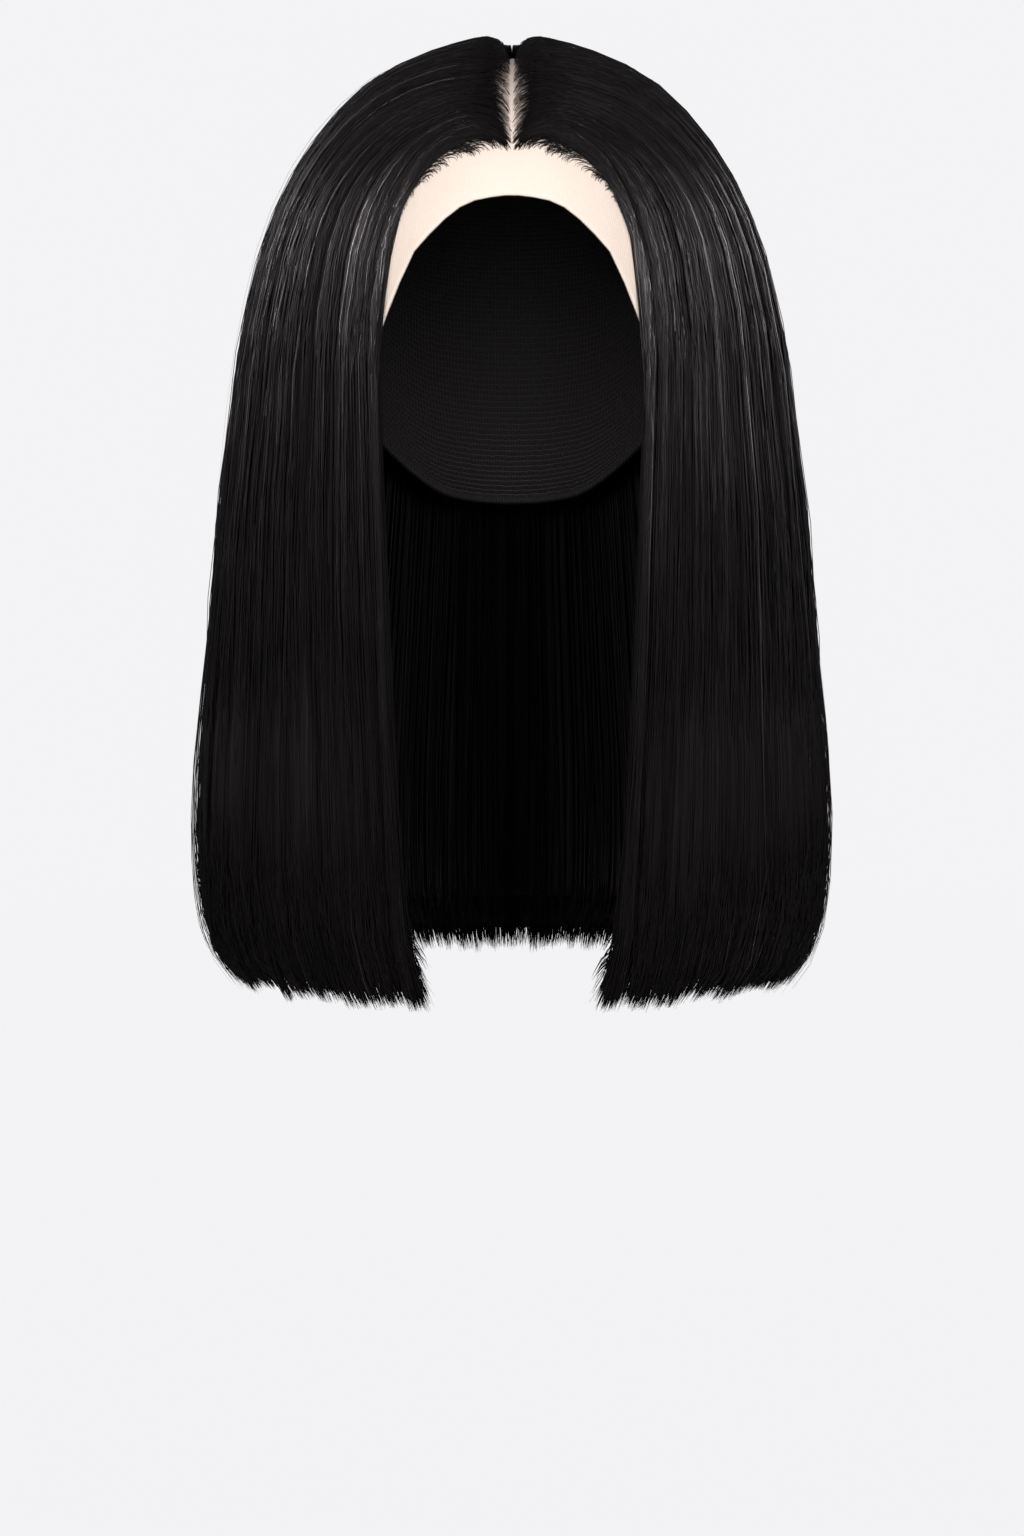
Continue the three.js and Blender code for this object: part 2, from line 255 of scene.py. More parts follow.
@dataclass(frozen=True)
class HairForm:
    """The hair's volume, from the parting to the hem, in millimetres.

    around runs from 0 at the front edge, past 0.5 at the side, to 1 at the
    middle of the back. row runs from 0 at the parting to LAST_ROW at the hem.
    """

    head: HeadForm = HeadForm()
    crest_rise: float = 7.0
    temple_drop: float = 110.0
    hang_length: float = 254.0
    side_width: float = 46.6
    back_depth: float = 18.0
    curtain_setback: float = 13.0
    face_half_width: float = 50.0
    widest_set: float = 10.0
    wall: float = 17.0
    hairline_dip: float = 14.0
    hairline_spread: float = 0.12
    edge_thinness: float = 0.5
    lock_depth: float = 2.2
    hem_cut: float = 3.0
    plan_power: float = 2.2
    root_height: float = 1.6
    on_cap: float = 2.1
    cap_rows: float = 5.5
    edge_setback: float = 2.6
    face_row: float = 4.6
    slope_step: float = 0.02

    def height(self, drop: Array, row: Array) -> Array:
        """Returns how high a level lies, from its drop over the head."""
        return self.crest_rise - self.temple_drop * drop - self.hang_length * between(LEVELS[:, 1], row)

    def front_edge(self, row: Array) -> Array:
        """Returns the curtain's front edge in the right half.

        Args:
            row: Places from the parting to the hem.

        Returns:
            Its points, in millimetres.
        """
        out, front, drop = (between(FRONT_EDGES[:, i], row) for i in range(3))
        reach = self.head.half_length - self.curtain_setback
        return np.stack([self.face_half_width * out, -reach * front, self.height(drop, row)], -1)

    def outer(self, around: Array, row: Array) -> Array:
        """Returns the smooth outer surface of the right half.

        Args:
            around: Places from the front edge to the middle of the back.
            row: Places from the parting to the hem, in the same shape.

        Returns:
            Points, in that shape with a last axis of three.
        """
        around, row = np.broadcast_arrays(around, row)
        half = (self.head.half_breadth + self.side_width) * between(LEVELS[:, 2], row)
        widest_y = self.widest_set * between(LEVELS[:, 4], row)
        side_z = self.height(between(LEVELS[:, 0], row), row)
        edge = self.front_edge(row)
        bend = 2 / self.plan_power
        edge_turn = np.arcsin(np.clip(edge[..., 0] / half, 0, 1) ** (1 / bend))
        share = np.clip(around * 2, 0, 1)
        turn = edge_turn + (math.pi / 2 - edge_turn) * share
        reach = (widest_y - edge[..., 1]) / np.cos(edge_turn) ** bend
        falloff = (1 - share) ** 2 * (1 + 2 * share)
        front = np.stack([
            half * np.sin(turn) ** bend,
            widest_y - reach * np.maximum(np.cos(turn), 0) ** bend,
            side_z + (edge[..., 2] - side_z) * falloff,
        ], -1)
        turn = math.pi / 2 * np.clip(around * 2 - 1, 0, 1)
        depth = (self.head.half_length + self.back_depth) * between(LEVELS[:, 3], row) - widest_y
        back = np.stack([
            half * np.maximum(np.cos(turn), 0) ** bend,
            widest_y + depth * np.sin(turn) ** bend,
            side_z,
        ], -1)
        points = np.where((around < 0.5)[..., None], front, back)
        growth = self.on_cap + self.root_height
        rooted = smooth(1 - row / 0.4)[..., None]
        kept = self.head.keep_off(points, growth)
        return kept + rooted * (self.head.lay(points, growth) - kept)

    def outward(self, around: Array, row: Array) -> Array:
        """Returns the outward direction of the outer surface.

        Args:
            around: Places round the hair, from 0 at the front edge to 1 at the back.
            row: Places from the parting to the hem.

        Returns:
            Directions of length 1.
        """
        step = self.slope_step
        a = np.clip(around, step, 1 - step)
        r = np.clip(row, step, LAST_ROW - step)
        across = self.outer(a + step, r) - self.outer(a - step, r)
        along = self.outer(a, r + step) - self.outer(a, r - step)
        return unit(np.cross(along, across))

    def lock_share(self, around: Array) -> tuple[Array, Array]:
        """Finds each place's lock.

        Args:
            around: Places round the hair, from 0 to 1.

        Returns:
            The locks' numbers, and how far across its lock each place lies.
        """
        lock = np.clip(np.searchsorted(LOCK_EDGES, around, side="right") - 1, 0, len(LOCKS) - 1)
        start = LOCK_EDGES[lock]
        return lock, (around - start) / (LOCK_EDGES[lock + 1] - start)

    def groove(self, around: Array, row: Array) -> Array:
        """Returns how deep the grooves between locks lie at each place."""
        _, across = self.lock_share(np.clip(around, 0, 1))
        return self.lock_depth * (row / LAST_ROW) * np.abs(2 * across - 1) ** 4

    def draw_back(self, points: Array, around: Array, row: Array) -> Array:
        """Draws the curtain's inner edge back from the face, below the cap and in place.

        Args:
            points: Points in millimetres.
            around: Places round the hair, from 0 at the front edge to 1 at the back.
            row: Places from the parting to the hem.

        Returns:
            The same points.
        """
        below_cap = smooth((row - self.face_row) / 1.6)
        share = below_cap * smooth(1 - around / 0.1) * (1 - 0.15 * smooth((row - 9.5) / 2.5))
        points[..., 0] += self.edge_setback * share
        return points

    def cut(self, around: Array) -> Array:
        """Returns how much shorter the hem is cut, eased between locks.

        Args:
            around: Places round the hair, from 0 to 1.

        Returns:
            Millimetres, in the shape of around.
        """
        lock, across = self.lock_share(np.clip(around, 0, 1))
        neighbour = np.clip(lock + np.where(across > 0.5, 1, -1), 0, len(LOCKS) - 1)
        own, other = LOCKS[lock, 1], LOCKS[neighbour, 1]
        return self.hem_cut * (own + (other - own) * 0.5 * np.abs(2 * across - 1) ** 3)

    def thickness(self, around: Array, row: Array) -> Array:
        """Returns the hanging hair's thickness, thinner at the front edge.

        Args:
            around: Places round the hair, from 0 at the front edge to 1 at the back.
            row: Places from the parting to the hem.

        Returns:
            Millimetres.
        """
        inland = np.clip(around / self.hairline_spread, 0, 1)
        thin = self.edge_thinness + (1 - self.edge_thinness) * inland
        return self.wall * between(LEVELS[:, 5], row) * thin

    def at(self, around: Array, row: Array, depth: Array) -> Array:
        """Returns points at a depth below the outer surface, kept off the cap.

        Args:
            around: Places round the hair, from 0 at the front edge to 1 at the back.
            row: Places from the parting to the hem.
            depth: Millimetres below the surface.

        Returns:
            The points, in millimetres.
        """
        around, row, depth = np.broadcast_arrays(around, row, depth)
        sunk = depth + self.groove(around, row)
        points = self.outer(around, row) - self.outward(around, row) * sunk[..., None]
        points[..., 2] += self.cut(around) * np.clip(row - (LAST_ROW - 1), 0, None)
        points = self.draw_back(points, around, row)
        clear = np.clip(self.root_height * 0.5 - 0.3 * depth, 0, 1)
        return self.head.keep_off(points, self.on_cap + clear)

    def inner(self, around: Array, row: Array, less: float = 0.0) -> Array:
        """Returns the inner surface, which runs down to the hairline in front.

        Args:
            around: Places round the hair, from 0 at the front edge to 1 at the back.
            row: Places from the parting to the hem.
            less: Millimetres that the wall is thinner by.

        Returns:
            The points, in millimetres.
        """
        around, row = np.broadcast_arrays(around, row)
        wall = self.thickness(around, row) - less
        points = self.outer(around, row) - self.outward(around, row) * wall[..., None]
        points[..., 2] += self.cut(around) * np.clip(row - (LAST_ROW - 1), 0, None)
        near_edge = np.clip(1 - around / self.hairline_spread, 0, 1)
        dip = self.hairline_dip * np.clip(between(FRONT_EDGES[:, 3], row), 0, None) * near_edge
        points[..., 2] -= dip
        points = self.draw_back(points, around, row)
        rooted = ((row < self.cap_rows) & (dip > 0))[..., None]
        laid = self.head.lay(points, self.on_cap)
        return np.where(rooted, laid, self.head.keep_off(points, self.on_cap))

    def hairline(self, row: Array) -> Array:
        """Returns the hairline on the lace, under the front edge at each row."""
        return self.inner(np.zeros_like(row), row)

    def edge_face(self, row: Array, share: Array, bulge: Array) -> Array:
        """Returns points of the narrow face between the hairline and the front edge.

        Args:
            row: Places from the parting to the hem.
            share: Shares of the way from the hairline to the front edge.
            bulge: Millimetres that the middle of the face stands out.

        Returns:
            The points, in millimetres.
        """
        row, share, bulge = np.broadcast_arrays(row, share, bulge)
        front = np.zeros_like(row)
        low = self.hairline(row)
        high = self.draw_back(self.outer(front, row), front, row)
        ahead = unit(high - self.outer(np.full_like(row, 0.02), row))
        bulge = bulge * (1 - 0.75 * smooth((row - self.face_row) / 2))
        out = (bulge * np.sin(math.pi * np.clip(share, 0, 1)))[..., None]
        return low + (high - low) * share[..., None] + ahead * out


@dataclass(frozen=True)
class HairFinish:
    """Off-black hair with a soft sheen: linear colours, and how rough each strand is."""

    name: str = "hair_strands"
    dark: Triple = (0.003, 0.0022, 0.0021)
    middle: Triple = (0.0082, 0.0057, 0.0052)
    light: Triple = (0.024, 0.0165, 0.014)
    middle_place: float = 0.6
    patch_scale: float = 45.0
    patch_low: float = 0.75
    patch_range: float = 0.5
    rough: float = 0.6
    glossy_rough: float = 0.34
    specular: float = 0.36
    gloss: float = 2.2
    gloss_rough: float = 0.2


@dataclass(frozen=True)
class MassFinish:
    """The hair under the strands, with painted shade: darker than the strands, as the depth between
    them lies in shade, and with strands in its bump.
    """

    name: str = "hair_mass"
    dark: Triple = (0.002, 0.0017, 0.0017)
    light: Triple = (0.011, 0.0085, 0.008)
    rough: float = 0.55
    specular: float = 0.3
    contrast: float = 2.2
    strand_width: float = 0.0006
    bump: float = 0.0007


@dataclass(frozen=True)
class LaceFinish:
    """Sheer lace in a pale peach, with a fine mesh."""

    name: str = "sheer_lace"
    thread: Triple = (0.88, 0.765, 0.665)
    shade: Triple = (0.85, 0.73, 0.625)
    rough: float = 0.7
    specular: float = 0.25
    patch_scale: float = 60.0
    mesh: float = 0.0009
    open_alpha: float = 0.84
    bump: float = 0.00012
    bump_strength: float = 0.8


@dataclass(frozen=True)
class NetFinish:
    """Black stretch net with rows of stitches where the hair is sewn on."""

    name: str = "stretch_net"
    thread: Triple = (0.02, 0.017, 0.016)
    gap: Triple = (0.004, 0.0035, 0.0034)
    rough: float = 0.7
    specular: float = 0.3
    mesh: float = 0.0016
    bump: float = 0.0004


class NodeMaker:
    """Small helpers that build the nodes of one material, world or group."""

    def __init__(self, tree: NodeTree) -> None:
        """Keeps the tree that the nodes go into."""
        self.tree = tree

    def node(self, kind: str, **values: object) -> Node:
        """Adds a node.

        Args:
            kind: The node's type.
            **values: Settings of its own, by name.

        Returns:
            The node.
        """
        made = self.tree.nodes.new(kind)
        for name, value in values.items():
            setattr(made, name, value)
        return made

    def link(self, source: NodeSocket, target: NodeSocket) -> None:
        """Joins two sockets."""
        self.tree.links.new(source, target)

    def feed(self, target: NodeSocket, value: object) -> None:
        """Gives a socket its value.

        Args:
            target: The socket.
            value: Another socket, a linear colour or a number.
        """
        if isinstance(value, NodeSocket):
            self.link(value, target)
        elif isinstance(value, tuple):
            target.default_value = (*value, 1.0)
        else:
            target.default_value = value

    def math(self, operation: str, *values: object) -> NodeSocket:
        """Adds a Math node.

        Args:
            operation: What it does.
            *values: Sockets or numbers for its inputs, in order.

        Returns:
            Its result.
        """
        made = self.node("ShaderNodeMath", operation=operation)
        for socket, value in zip(made.inputs, values):
            self.feed(socket, value)
        return made.outputs[0]

    def mix(self, factor: object, first: object, second: object, blend: str = "MIX") -> NodeSocket:
        """Adds a Mix node for colours.

        Args:
            factor: The second colour's share, a socket or a number.
            first: The first colour, a socket or linear.
            second: The second colour, a socket or linear.
            blend: How they are blended.

        Returns:
            Its colour.
        """
        made = self.node("ShaderNodeMix", data_type="RGBA", blend_type=blend)
        for index, value in zip((0, 6, 7), (factor, first, second)):
            self.feed(made.inputs[index], value)
        return made.outputs[2]

    def noise(self, scale: float) -> NodeSocket:
        """Adds a noise on the piece's Object coordinates.

        Args:
            scale: The noise's scale.

        Returns:
            Its value.
        """
        place = self.node("ShaderNodeTexCoord")
        made = self.node("ShaderNodeTexNoise")
        self.feed(made.inputs["Scale"], scale)
        self.link(place.outputs["Object"], made.inputs["Vector"])
        return made.outputs[0]

    def pattern(self, group: NodeTree, size: float) -> Node:
        """Adds a pattern group on the piece's own map.

        Args:
            group: The group, with the inputs Flow and Size.
            size: The pattern's size in metres.

        Returns:
            The group's node.
        """
        flow = self.node("ShaderNodeUVMap", uv_map="flow")
        made = self.node("ShaderNodeGroup", node_tree=group)
        self.feed(made.inputs["Size"], size)
        self.link(flow.outputs[0], made.inputs["Flow"])
        return made

    def bump(self, shader: Node, height: NodeSocket, distance: float, strength: float = 1.0) -> None:
        """Raises a shader's surface.

        Args:
            shader: The shader.
            height: The height's value.
            distance: How high a value of 1 stands, in metres.
            strength: The bump's strength.
        """
        made = self.node("ShaderNodeBump")
        self.feed(made.inputs["Strength"], strength)
        self.feed(made.inputs["Distance"], distance)
        self.link(height, made.inputs["Height"])
        self.link(made.outputs[0], shader.inputs["Normal"])


def new_group(
    name: str, kind: str, inputs: dict[str, str], outputs: dict[str, str],
) -> tuple[NodeMaker, Node, Node]:
    """Builds a node group that holds its own input and output nodes.

    Args:
        name: The group's name.
        kind: Its kind of tree.
        inputs: Each input's kind of socket, by name.
        outputs: Each output's kind of socket, by name.

    Returns:
        The helper that holds the group, its input node and its output node.
    """
    group = bpy.data.node_groups.new(name, kind)
    for way, sockets in (("INPUT", inputs), ("OUTPUT", outputs)):
        for label, socket in sockets.items():
            group.interface.new_socket(label, in_out=way, socket_type="NodeSocket" + socket)
    tree = NodeMaker(group)
    return tree, tree.node("NodeGroupInput"), tree.node("NodeGroupOutput")


@cache
def streak_group() -> NodeTree:
    """Builds the group that draws fine strands along a surface's own flow.

    Returns:
        A group with the inputs Flow and Size, and the outputs Strand and Clump.
    """
    tree, inside, outside = new_group(
        "fine_strands", "ShaderNodeTree",
        {"Flow": "Vector", "Size": "Float"}, {"Strand": "Float", "Clump": "Float"},
    )
    split = tree.node("ShaderNodeSeparateXYZ")
    tree.link(inside.outputs["Flow"], split.inputs[0])
    across = tree.math("DIVIDE", split.outputs[0], inside.outputs["Size"])
    along = tree.math("MULTIPLY", split.outputs[1], 9.0)
    for output, share, detail in (("Strand", 1.0, 2.0), ("Clump", 0.16, 1.0)):
        placed = tree.node("ShaderNodeCombineXYZ")
        tree.link(tree.math("MULTIPLY", across, share), placed.inputs[0])
        tree.link(along, placed.inputs[1])
        noise = tree.node("ShaderNodeTexNoise", noise_dimensions="2D")
        tree.feed(noise.inputs["Scale"], 1.0)
        tree.feed(noise.inputs["Detail"], detail)
        tree.link(placed.outputs[0], noise.inputs["Vector"])
        tree.link(noise.outputs[0], outside.inputs[output])
    return tree.tree


@cache
def mesh_group() -> NodeTree:
    """Builds the group that draws a fine net on a surface's own map.

    Returns:
        A group with the inputs Flow and Size, and the output Thread.
    """
    tree, inside, outside = new_group(
        "fine_net", "ShaderNodeTree", {"Flow": "Vector", "Size": "Float"}, {"Thread": "Float"},
    )
    sizes = tree.node("ShaderNodeCombineXYZ")
    for socket in sizes.inputs:
        tree.link(inside.outputs["Size"], socket)
    scaled = tree.node("ShaderNodeVectorMath", operation="DIVIDE")
    tree.link(inside.outputs["Flow"], scaled.inputs[0])
    tree.link(sizes.outputs[0], scaled.inputs[1])
    cells = tree.node("ShaderNodeTexVoronoi", voronoi_dimensions="2D", feature="DISTANCE_TO_EDGE")
    tree.feed(cells.inputs["Scale"], 1.0)
    tree.feed(cells.inputs["Randomness"], 0.25)
    tree.link(scaled.outputs[0], cells.inputs["Vector"])
    near = tree.math("SUBTRACT", 1.0, tree.math("MULTIPLY", cells.outputs["Distance"], 4.0))
    tree.link(tree.math("MAXIMUM", near, 0.0), outside.inputs["Thread"])
    return tree.tree


def new_material(name: str, rough: float, specular: float) -> tuple[Material, NodeMaker, Node]:
    """Makes a material.

    Args:
        name: Its name.
        rough: Its roughness.
        specular: How much it reflects, 0.5 for most things.

    Returns:
        The material, the helper for its nodes and its Principled shader.
    """
    material = bpy.data.materials.new(name)
    material.use_nodes = True
    tree = NodeMaker(material.node_tree)
    shader = material.node_tree.nodes["Principled BSDF"]
    tree.feed(shader.inputs["Roughness"], rough)
    tree.feed(shader.inputs["Specular IOR Level"], specular)
    return material, tree, shader


def strand_material(finish: HairFinish) -> Material:
    """Builds the strands' material, whose tone, gloss and roughness change by strand and, with the
    painted sheen in the tone attribute, along each strand.

    Args:
        finish: The hair's colours and roughness.

    Returns:
        The material.
    """
    material, tree, shader = new_material(finish.name, finish.rough, finish.specular)
    # The tone attribute holds each strand's own tone times the painted sheen of its row, a painted
    # highlight in colour, coat and roughness.
    tone = tree.node("ShaderNodeAttribute", attribute_name="tone").outputs["Fac"]
    ramp = tree.node("ShaderNodeValToRGB")
    stops = ramp.color_ramp.elements
    stops[0].color = (*finish.dark, 1)
    stops[1].color = (*finish.light, 1)
    stops.new(finish.middle_place).color = (*finish.middle, 1)
    tree.link(tone, ramp.inputs[0])
    noise = tree.noise(finish.patch_scale)
    patches = tree.math("MULTIPLY_ADD", noise, finish.patch_range, finish.patch_low)
    grey = tree.node("ShaderNodeCombineColor")
    for socket in list(grey.inputs)[:3]:
        tree.link(patches, socket)
    colour = tree.mix(1.0, ramp.outputs[0], grey.outputs[0], "MULTIPLY")
    rough = tree.math("MULTIPLY_ADD", tone, finish.glossy_rough - finish.rough, finish.rough)
    tree.link(colour, shader.inputs["Base Color"])
    tree.link(rough, shader.inputs["Roughness"])
    tree.link(tree.math("MULTIPLY", tone, finish.gloss), shader.inputs["Coat Weight"])
    tree.feed(shader.inputs["Coat Roughness"], finish.gloss_rough)
    return material


def mass_material(finish: MassFinish) -> Material:
    """Builds the material of the hair under the strands, darkened as painted shade.

    Args:
        finish: The hair's colours and its bump.

    Returns:
        The material.
    """
    material, tree, shader = new_material(finish.name, finish.rough, finish.specular)
    streaks = tree.pattern(streak_group(), finish.strand_width)
    strand, clump = streaks.outputs["Strand"], streaks.outputs["Clump"]
    strength = tree.math("MULTIPLY", tree.math("MULTIPLY", strand, clump), finish.contrast)
    tree.link(tree.mix(strength, finish.dark, finish.light), shader.inputs["Base Color"])
    tree.bump(shader, tree.math("ADD", strand, clump), finish.bump)
    return material


def lace_material(finish: LaceFinish) -> Material:
    """Builds the lace's material: a fine mesh, more open between its threads.

    Args:
        finish: The lace's colours and mesh.

    Returns:
        The material.
    """
    material, tree, shader = new_material(finish.name, finish.rough, finish.specular)
    thread = tree.pattern(mesh_group(), finish.mesh).outputs["Thread"]
    tint = tree.math("MULTIPLY", tree.noise(finish.patch_scale), tree.math("SUBTRACT", 1.0, thread))
    tree.link(tree.mix(tint, finish.thread, finish.shade), shader.inputs["Base Color"])
    alpha = tree.math("MULTIPLY_ADD", thread, 1.0 - finish.open_alpha, finish.open_alpha)
    tree.link(alpha, shader.inputs["Alpha"])
    tree.bump(shader, thread, finish.bump, finish.bump_strength)
    return material


def net_material(finish: NetFinish) -> Material:
    """Builds the stretch net's material.

    Args:
        finish: The net's colours and mesh.

    Returns:
        The material.
    """
    material, tree, shader = new_material(finish.name, finish.rough, finish.specular)
    thread = tree.pattern(mesh_group(), finish.mesh).outputs["Thread"]
    tree.link(tree.mix(thread, finish.gap, finish.thread), shader.inputs["Base Color"])
    tree.bump(shader, thread, finish.bump)
    return material


def add_object(name: str, mesh: Mesh) -> Object:
    """Adds an object at the origin.

    Args:
        name: Its name.
        mesh: Its mesh.

    Returns:
        The object.
    """
    made = bpy.data.objects.new(name, mesh)
    bpy.context.scene.collection.objects.link(made)
    return made


def wall_mesh(name: str, outer: Array, inner: Array, flow: Array, flip: bool = False) -> Mesh:
    """Builds a closed wall between two grids of points.

    Args:
        name: The mesh's name.
        outer: Points of the outer face in millimetres, rows by columns by three.
        inner: Points of the inner face, in the same shape.
        flow: The surface's own map in metres, rows by columns by two.
        flip: Whether the faces are turned over.

    Returns:
        The mesh, in metres, with the map as its UV map "flow".
    """
    rows, columns = outer.shape[:2]
    count = rows * columns
    index = np.arange(count).reshape(rows, columns)
    a, b = index[:-1, :-1], index[1:, :-1]
    c, d = index[1:, 1:], index[:-1, 1:]
    front = np.stack([a, b, c, d], -1).reshape(-1, 4)
    back = np.stack([a, d, c, b], -1).reshape(-1, 4) + count
    faces = [front, back]
    for rim in (index[:, 0], index[-1, :], index[::-1, -1], index[0, ::-1]):
        faces.append(np.stack([rim[1:], rim[:-1], rim[:-1] + count, rim[1:] + count], -1))
    quads = np.concatenate(faces)
    if flip:
        quads = quads[:, ::-1]
    points = np.concatenate([outer.reshape(-1, 3), inner.reshape(-1, 3)]) * MM
    mesh = bpy.data.meshes.new(name)
    mesh.from_pydata(points.tolist(), [], quads.tolist())
    layer = mesh.uv_layers.new(name="flow")
    places = np.tile(flow.reshape(-1, 2), (2, 1))[quads.reshape(-1)]
    layer.data.foreach_set("uv", places.astype(np.float32).ravel())
    mesh.polygons.foreach_set("use_smooth", np.ones(len(quads), bool))
    mesh.update()
    return mesh


def strand_turns(thick: Array) -> Array:
    """Returns how far each strand is turned about its own length.

    Args:
        thick: Strands by points.

    Returns:
        Radians, in the shape of thick.
    """
    count = len(thick)
    turn = (np.arange(count) * GOLDEN_ANGLE) % math.tau
    return np.broadcast_to(turn[:, None], thick.shape)


@dataclass
class StrandBundle:
    """Strands as rows of points, with a thickness at each and a tone for each."""

    points: list[Array] = field(default_factory=list)
    thick: list[Array] = field(default_factory=list)
    tone: list[Array] = field(default_factory=list)

    def add(self, points: Array, thick: Array, tone: Array) -> None:
        """Adds strands.

        Args:
            points: Strands by points by three, in millimetres.
            thick: Strands by points, each point's radius in millimetres.
            tone: Values from 0, dark and dull, to 1, light and glossy, in the shape of thick, with the
                painted sheen in them.
        """
        self.points.append(points)
        self.thick.append(thick)
        self.tone.append(tone)

    def guides(self, name: str) -> Object:
        """Makes an object whose loose edges are the strands' middle lines.

        Args:
            name: The object's name.

        Returns:
            The object, with the attributes thick, tone and turn.
        """
        edges, start = [], 0
        for block in self.points:
            strands, steps = block.shape[:2]
            index = np.arange(strands * steps).reshape(strands, steps) + start
            edges.append(np.stack([index[:, :-1], index[:, 1:]], -1).reshape(-1, 2))
            start += strands * steps
        points = np.concatenate([block.reshape(-1, 3) for block in self.points]) * MM
        edges = np.concatenate(edges)
        mesh = bpy.data.meshes.new(name)
        mesh.vertices.add(len(points))
        mesh.vertices.foreach_set("co", points.astype(np.float32).ravel())
        mesh.edges.add(len(edges))
        mesh.edges.foreach_set("vertices", edges.astype(np.int32).ravel())
        turns = [strand_turns(block) for block in self.thick]
        columns = (("thick", self.thick, MM), ("tone", self.tone, 1.0), ("turn", turns, 1.0))
        for attribute, blocks, scale in columns:
            values = np.concatenate([block.ravel() for block in blocks]) * scale
            layer = mesh.attributes.new(attribute, "FLOAT", "POINT")
            layer.data.foreach_set("value", values.astype(np.float32))
        mesh.update()
        return add_object(name, mesh)


@dataclass
class StrandTree:
    """The Geometry Nodes tree that turns guide lines into closed strands."""

    name: str = "strands_from_guides"
    sides: int = 3
    fullness: float = 1.0

    def build(self) -> NodeTree:
        """Builds the tree once.

        Returns:
            A tree with the inputs Geometry, Sides, Fullness and Material.
        """
        if self.name in bpy.data.node_groups:
            return bpy.data.node_groups[self.name]
        tree, inside, outside = new_group(
            self.name, "GeometryNodeTree",
            {"Geometry": "Geometry", "Sides": "Int", "Fullness": "Float", "Material": "Material"},
            {"Geometry": "Geometry"},
        )
        curves = tree.node("GeometryNodeMeshToCurve")
        turn = tree.node("GeometryNodeInputNamedAttribute", data_type="FLOAT")
        tree.feed(turn.inputs["Name"], "turn")
        turned = tree.node("GeometryNodeSetCurveTilt")
        section = tree.node("GeometryNodeCurvePrimitiveCircle")
        tree.feed(section.inputs["Radius"], 1.0)
        thick = tree.node("GeometryNodeInputNamedAttribute", data_type="FLOAT")
        tree.feed(thick.inputs["Name"], "thick")
        scaled = tree.math("MULTIPLY", thick.outputs[0], inside.outputs["Fullness"])
        swept = tree.node("GeometryNodeCurveToMesh")
        tree.feed(swept.inputs["Fill Caps"], True)
        rounded = tree.node("GeometryNodeSetShadeSmooth")
        dressed = tree.node("GeometryNodeSetMaterial")
        real = tree.node("GeometryNodeRealizeInstances")
        tree.link(inside.outputs["Geometry"], curves.inputs[0])
        tree.link(inside.outputs["Sides"], section.inputs["Resolution"])
        tree.link(curves.outputs[0], turned.inputs[0])
        tree.link(turn.outputs[0], turned.inputs["Tilt"])
        tree.link(turned.outputs[0], swept.inputs["Curve"])
        tree.link(section.outputs[0], swept.inputs["Profile Curve"])
        tree.link(scaled, swept.inputs["Scale"])
        tree.link(swept.outputs[0], rounded.inputs[0])
        tree.link(rounded.outputs[0], real.inputs[0])
        tree.link(real.outputs[0], dressed.inputs[0])
        tree.link(inside.outputs["Material"], dressed.inputs["Material"])
        tree.link(dressed.outputs[0], outside.inputs[0])
        return tree.tree

    def sweep(self, bundle: StrandBundle, name: str, material: Material) -> Object:
        """Makes one piece of closed strands.

        Args:
            bundle: The strands.
            name: The piece's name.
            material: The strands' material.

        Returns:
            The piece, a plain mesh at the origin.
        """
        group = self.build()
        guides = bundle.guides(name + "_guides")
        modifier = guides.modifiers.new("strands", "NODES")
        modifier.node_group = group
        values = {"Sides": self.sides, "Fullness": self.fullness, "Material": material}
        for item in group.interface.items_tree:
            if item.item_type == "SOCKET" and item.in_out == "INPUT" and item.name in values:
                modifier[item.identifier] = values[item.name]
        bpy.context.view_layer.update()
        graph = bpy.context.evaluated_depsgraph_get()
        mesh = bpy.data.meshes.new_from_object(guides.evaluated_get(graph), depsgraph=graph)
        mesh.name = name
        guides.modifiers.clear()
        old = guides.data
        bpy.data.objects.remove(guides)
        bpy.data.meshes.remove(old)
        return add_object(name, mesh)


def settle(piece: Object, slot: Slot, *nodes: str) -> Object:
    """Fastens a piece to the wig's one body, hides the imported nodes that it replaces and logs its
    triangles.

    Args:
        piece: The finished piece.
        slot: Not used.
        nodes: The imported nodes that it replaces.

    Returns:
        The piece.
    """
    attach(piece, BODY)
    if nodes:
        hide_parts(*nodes)
    piece.data.calc_loop_triangles()
    LOG.info("%s: %d triangles", piece.name, len(piece.data.loop_triangles))
    return piece


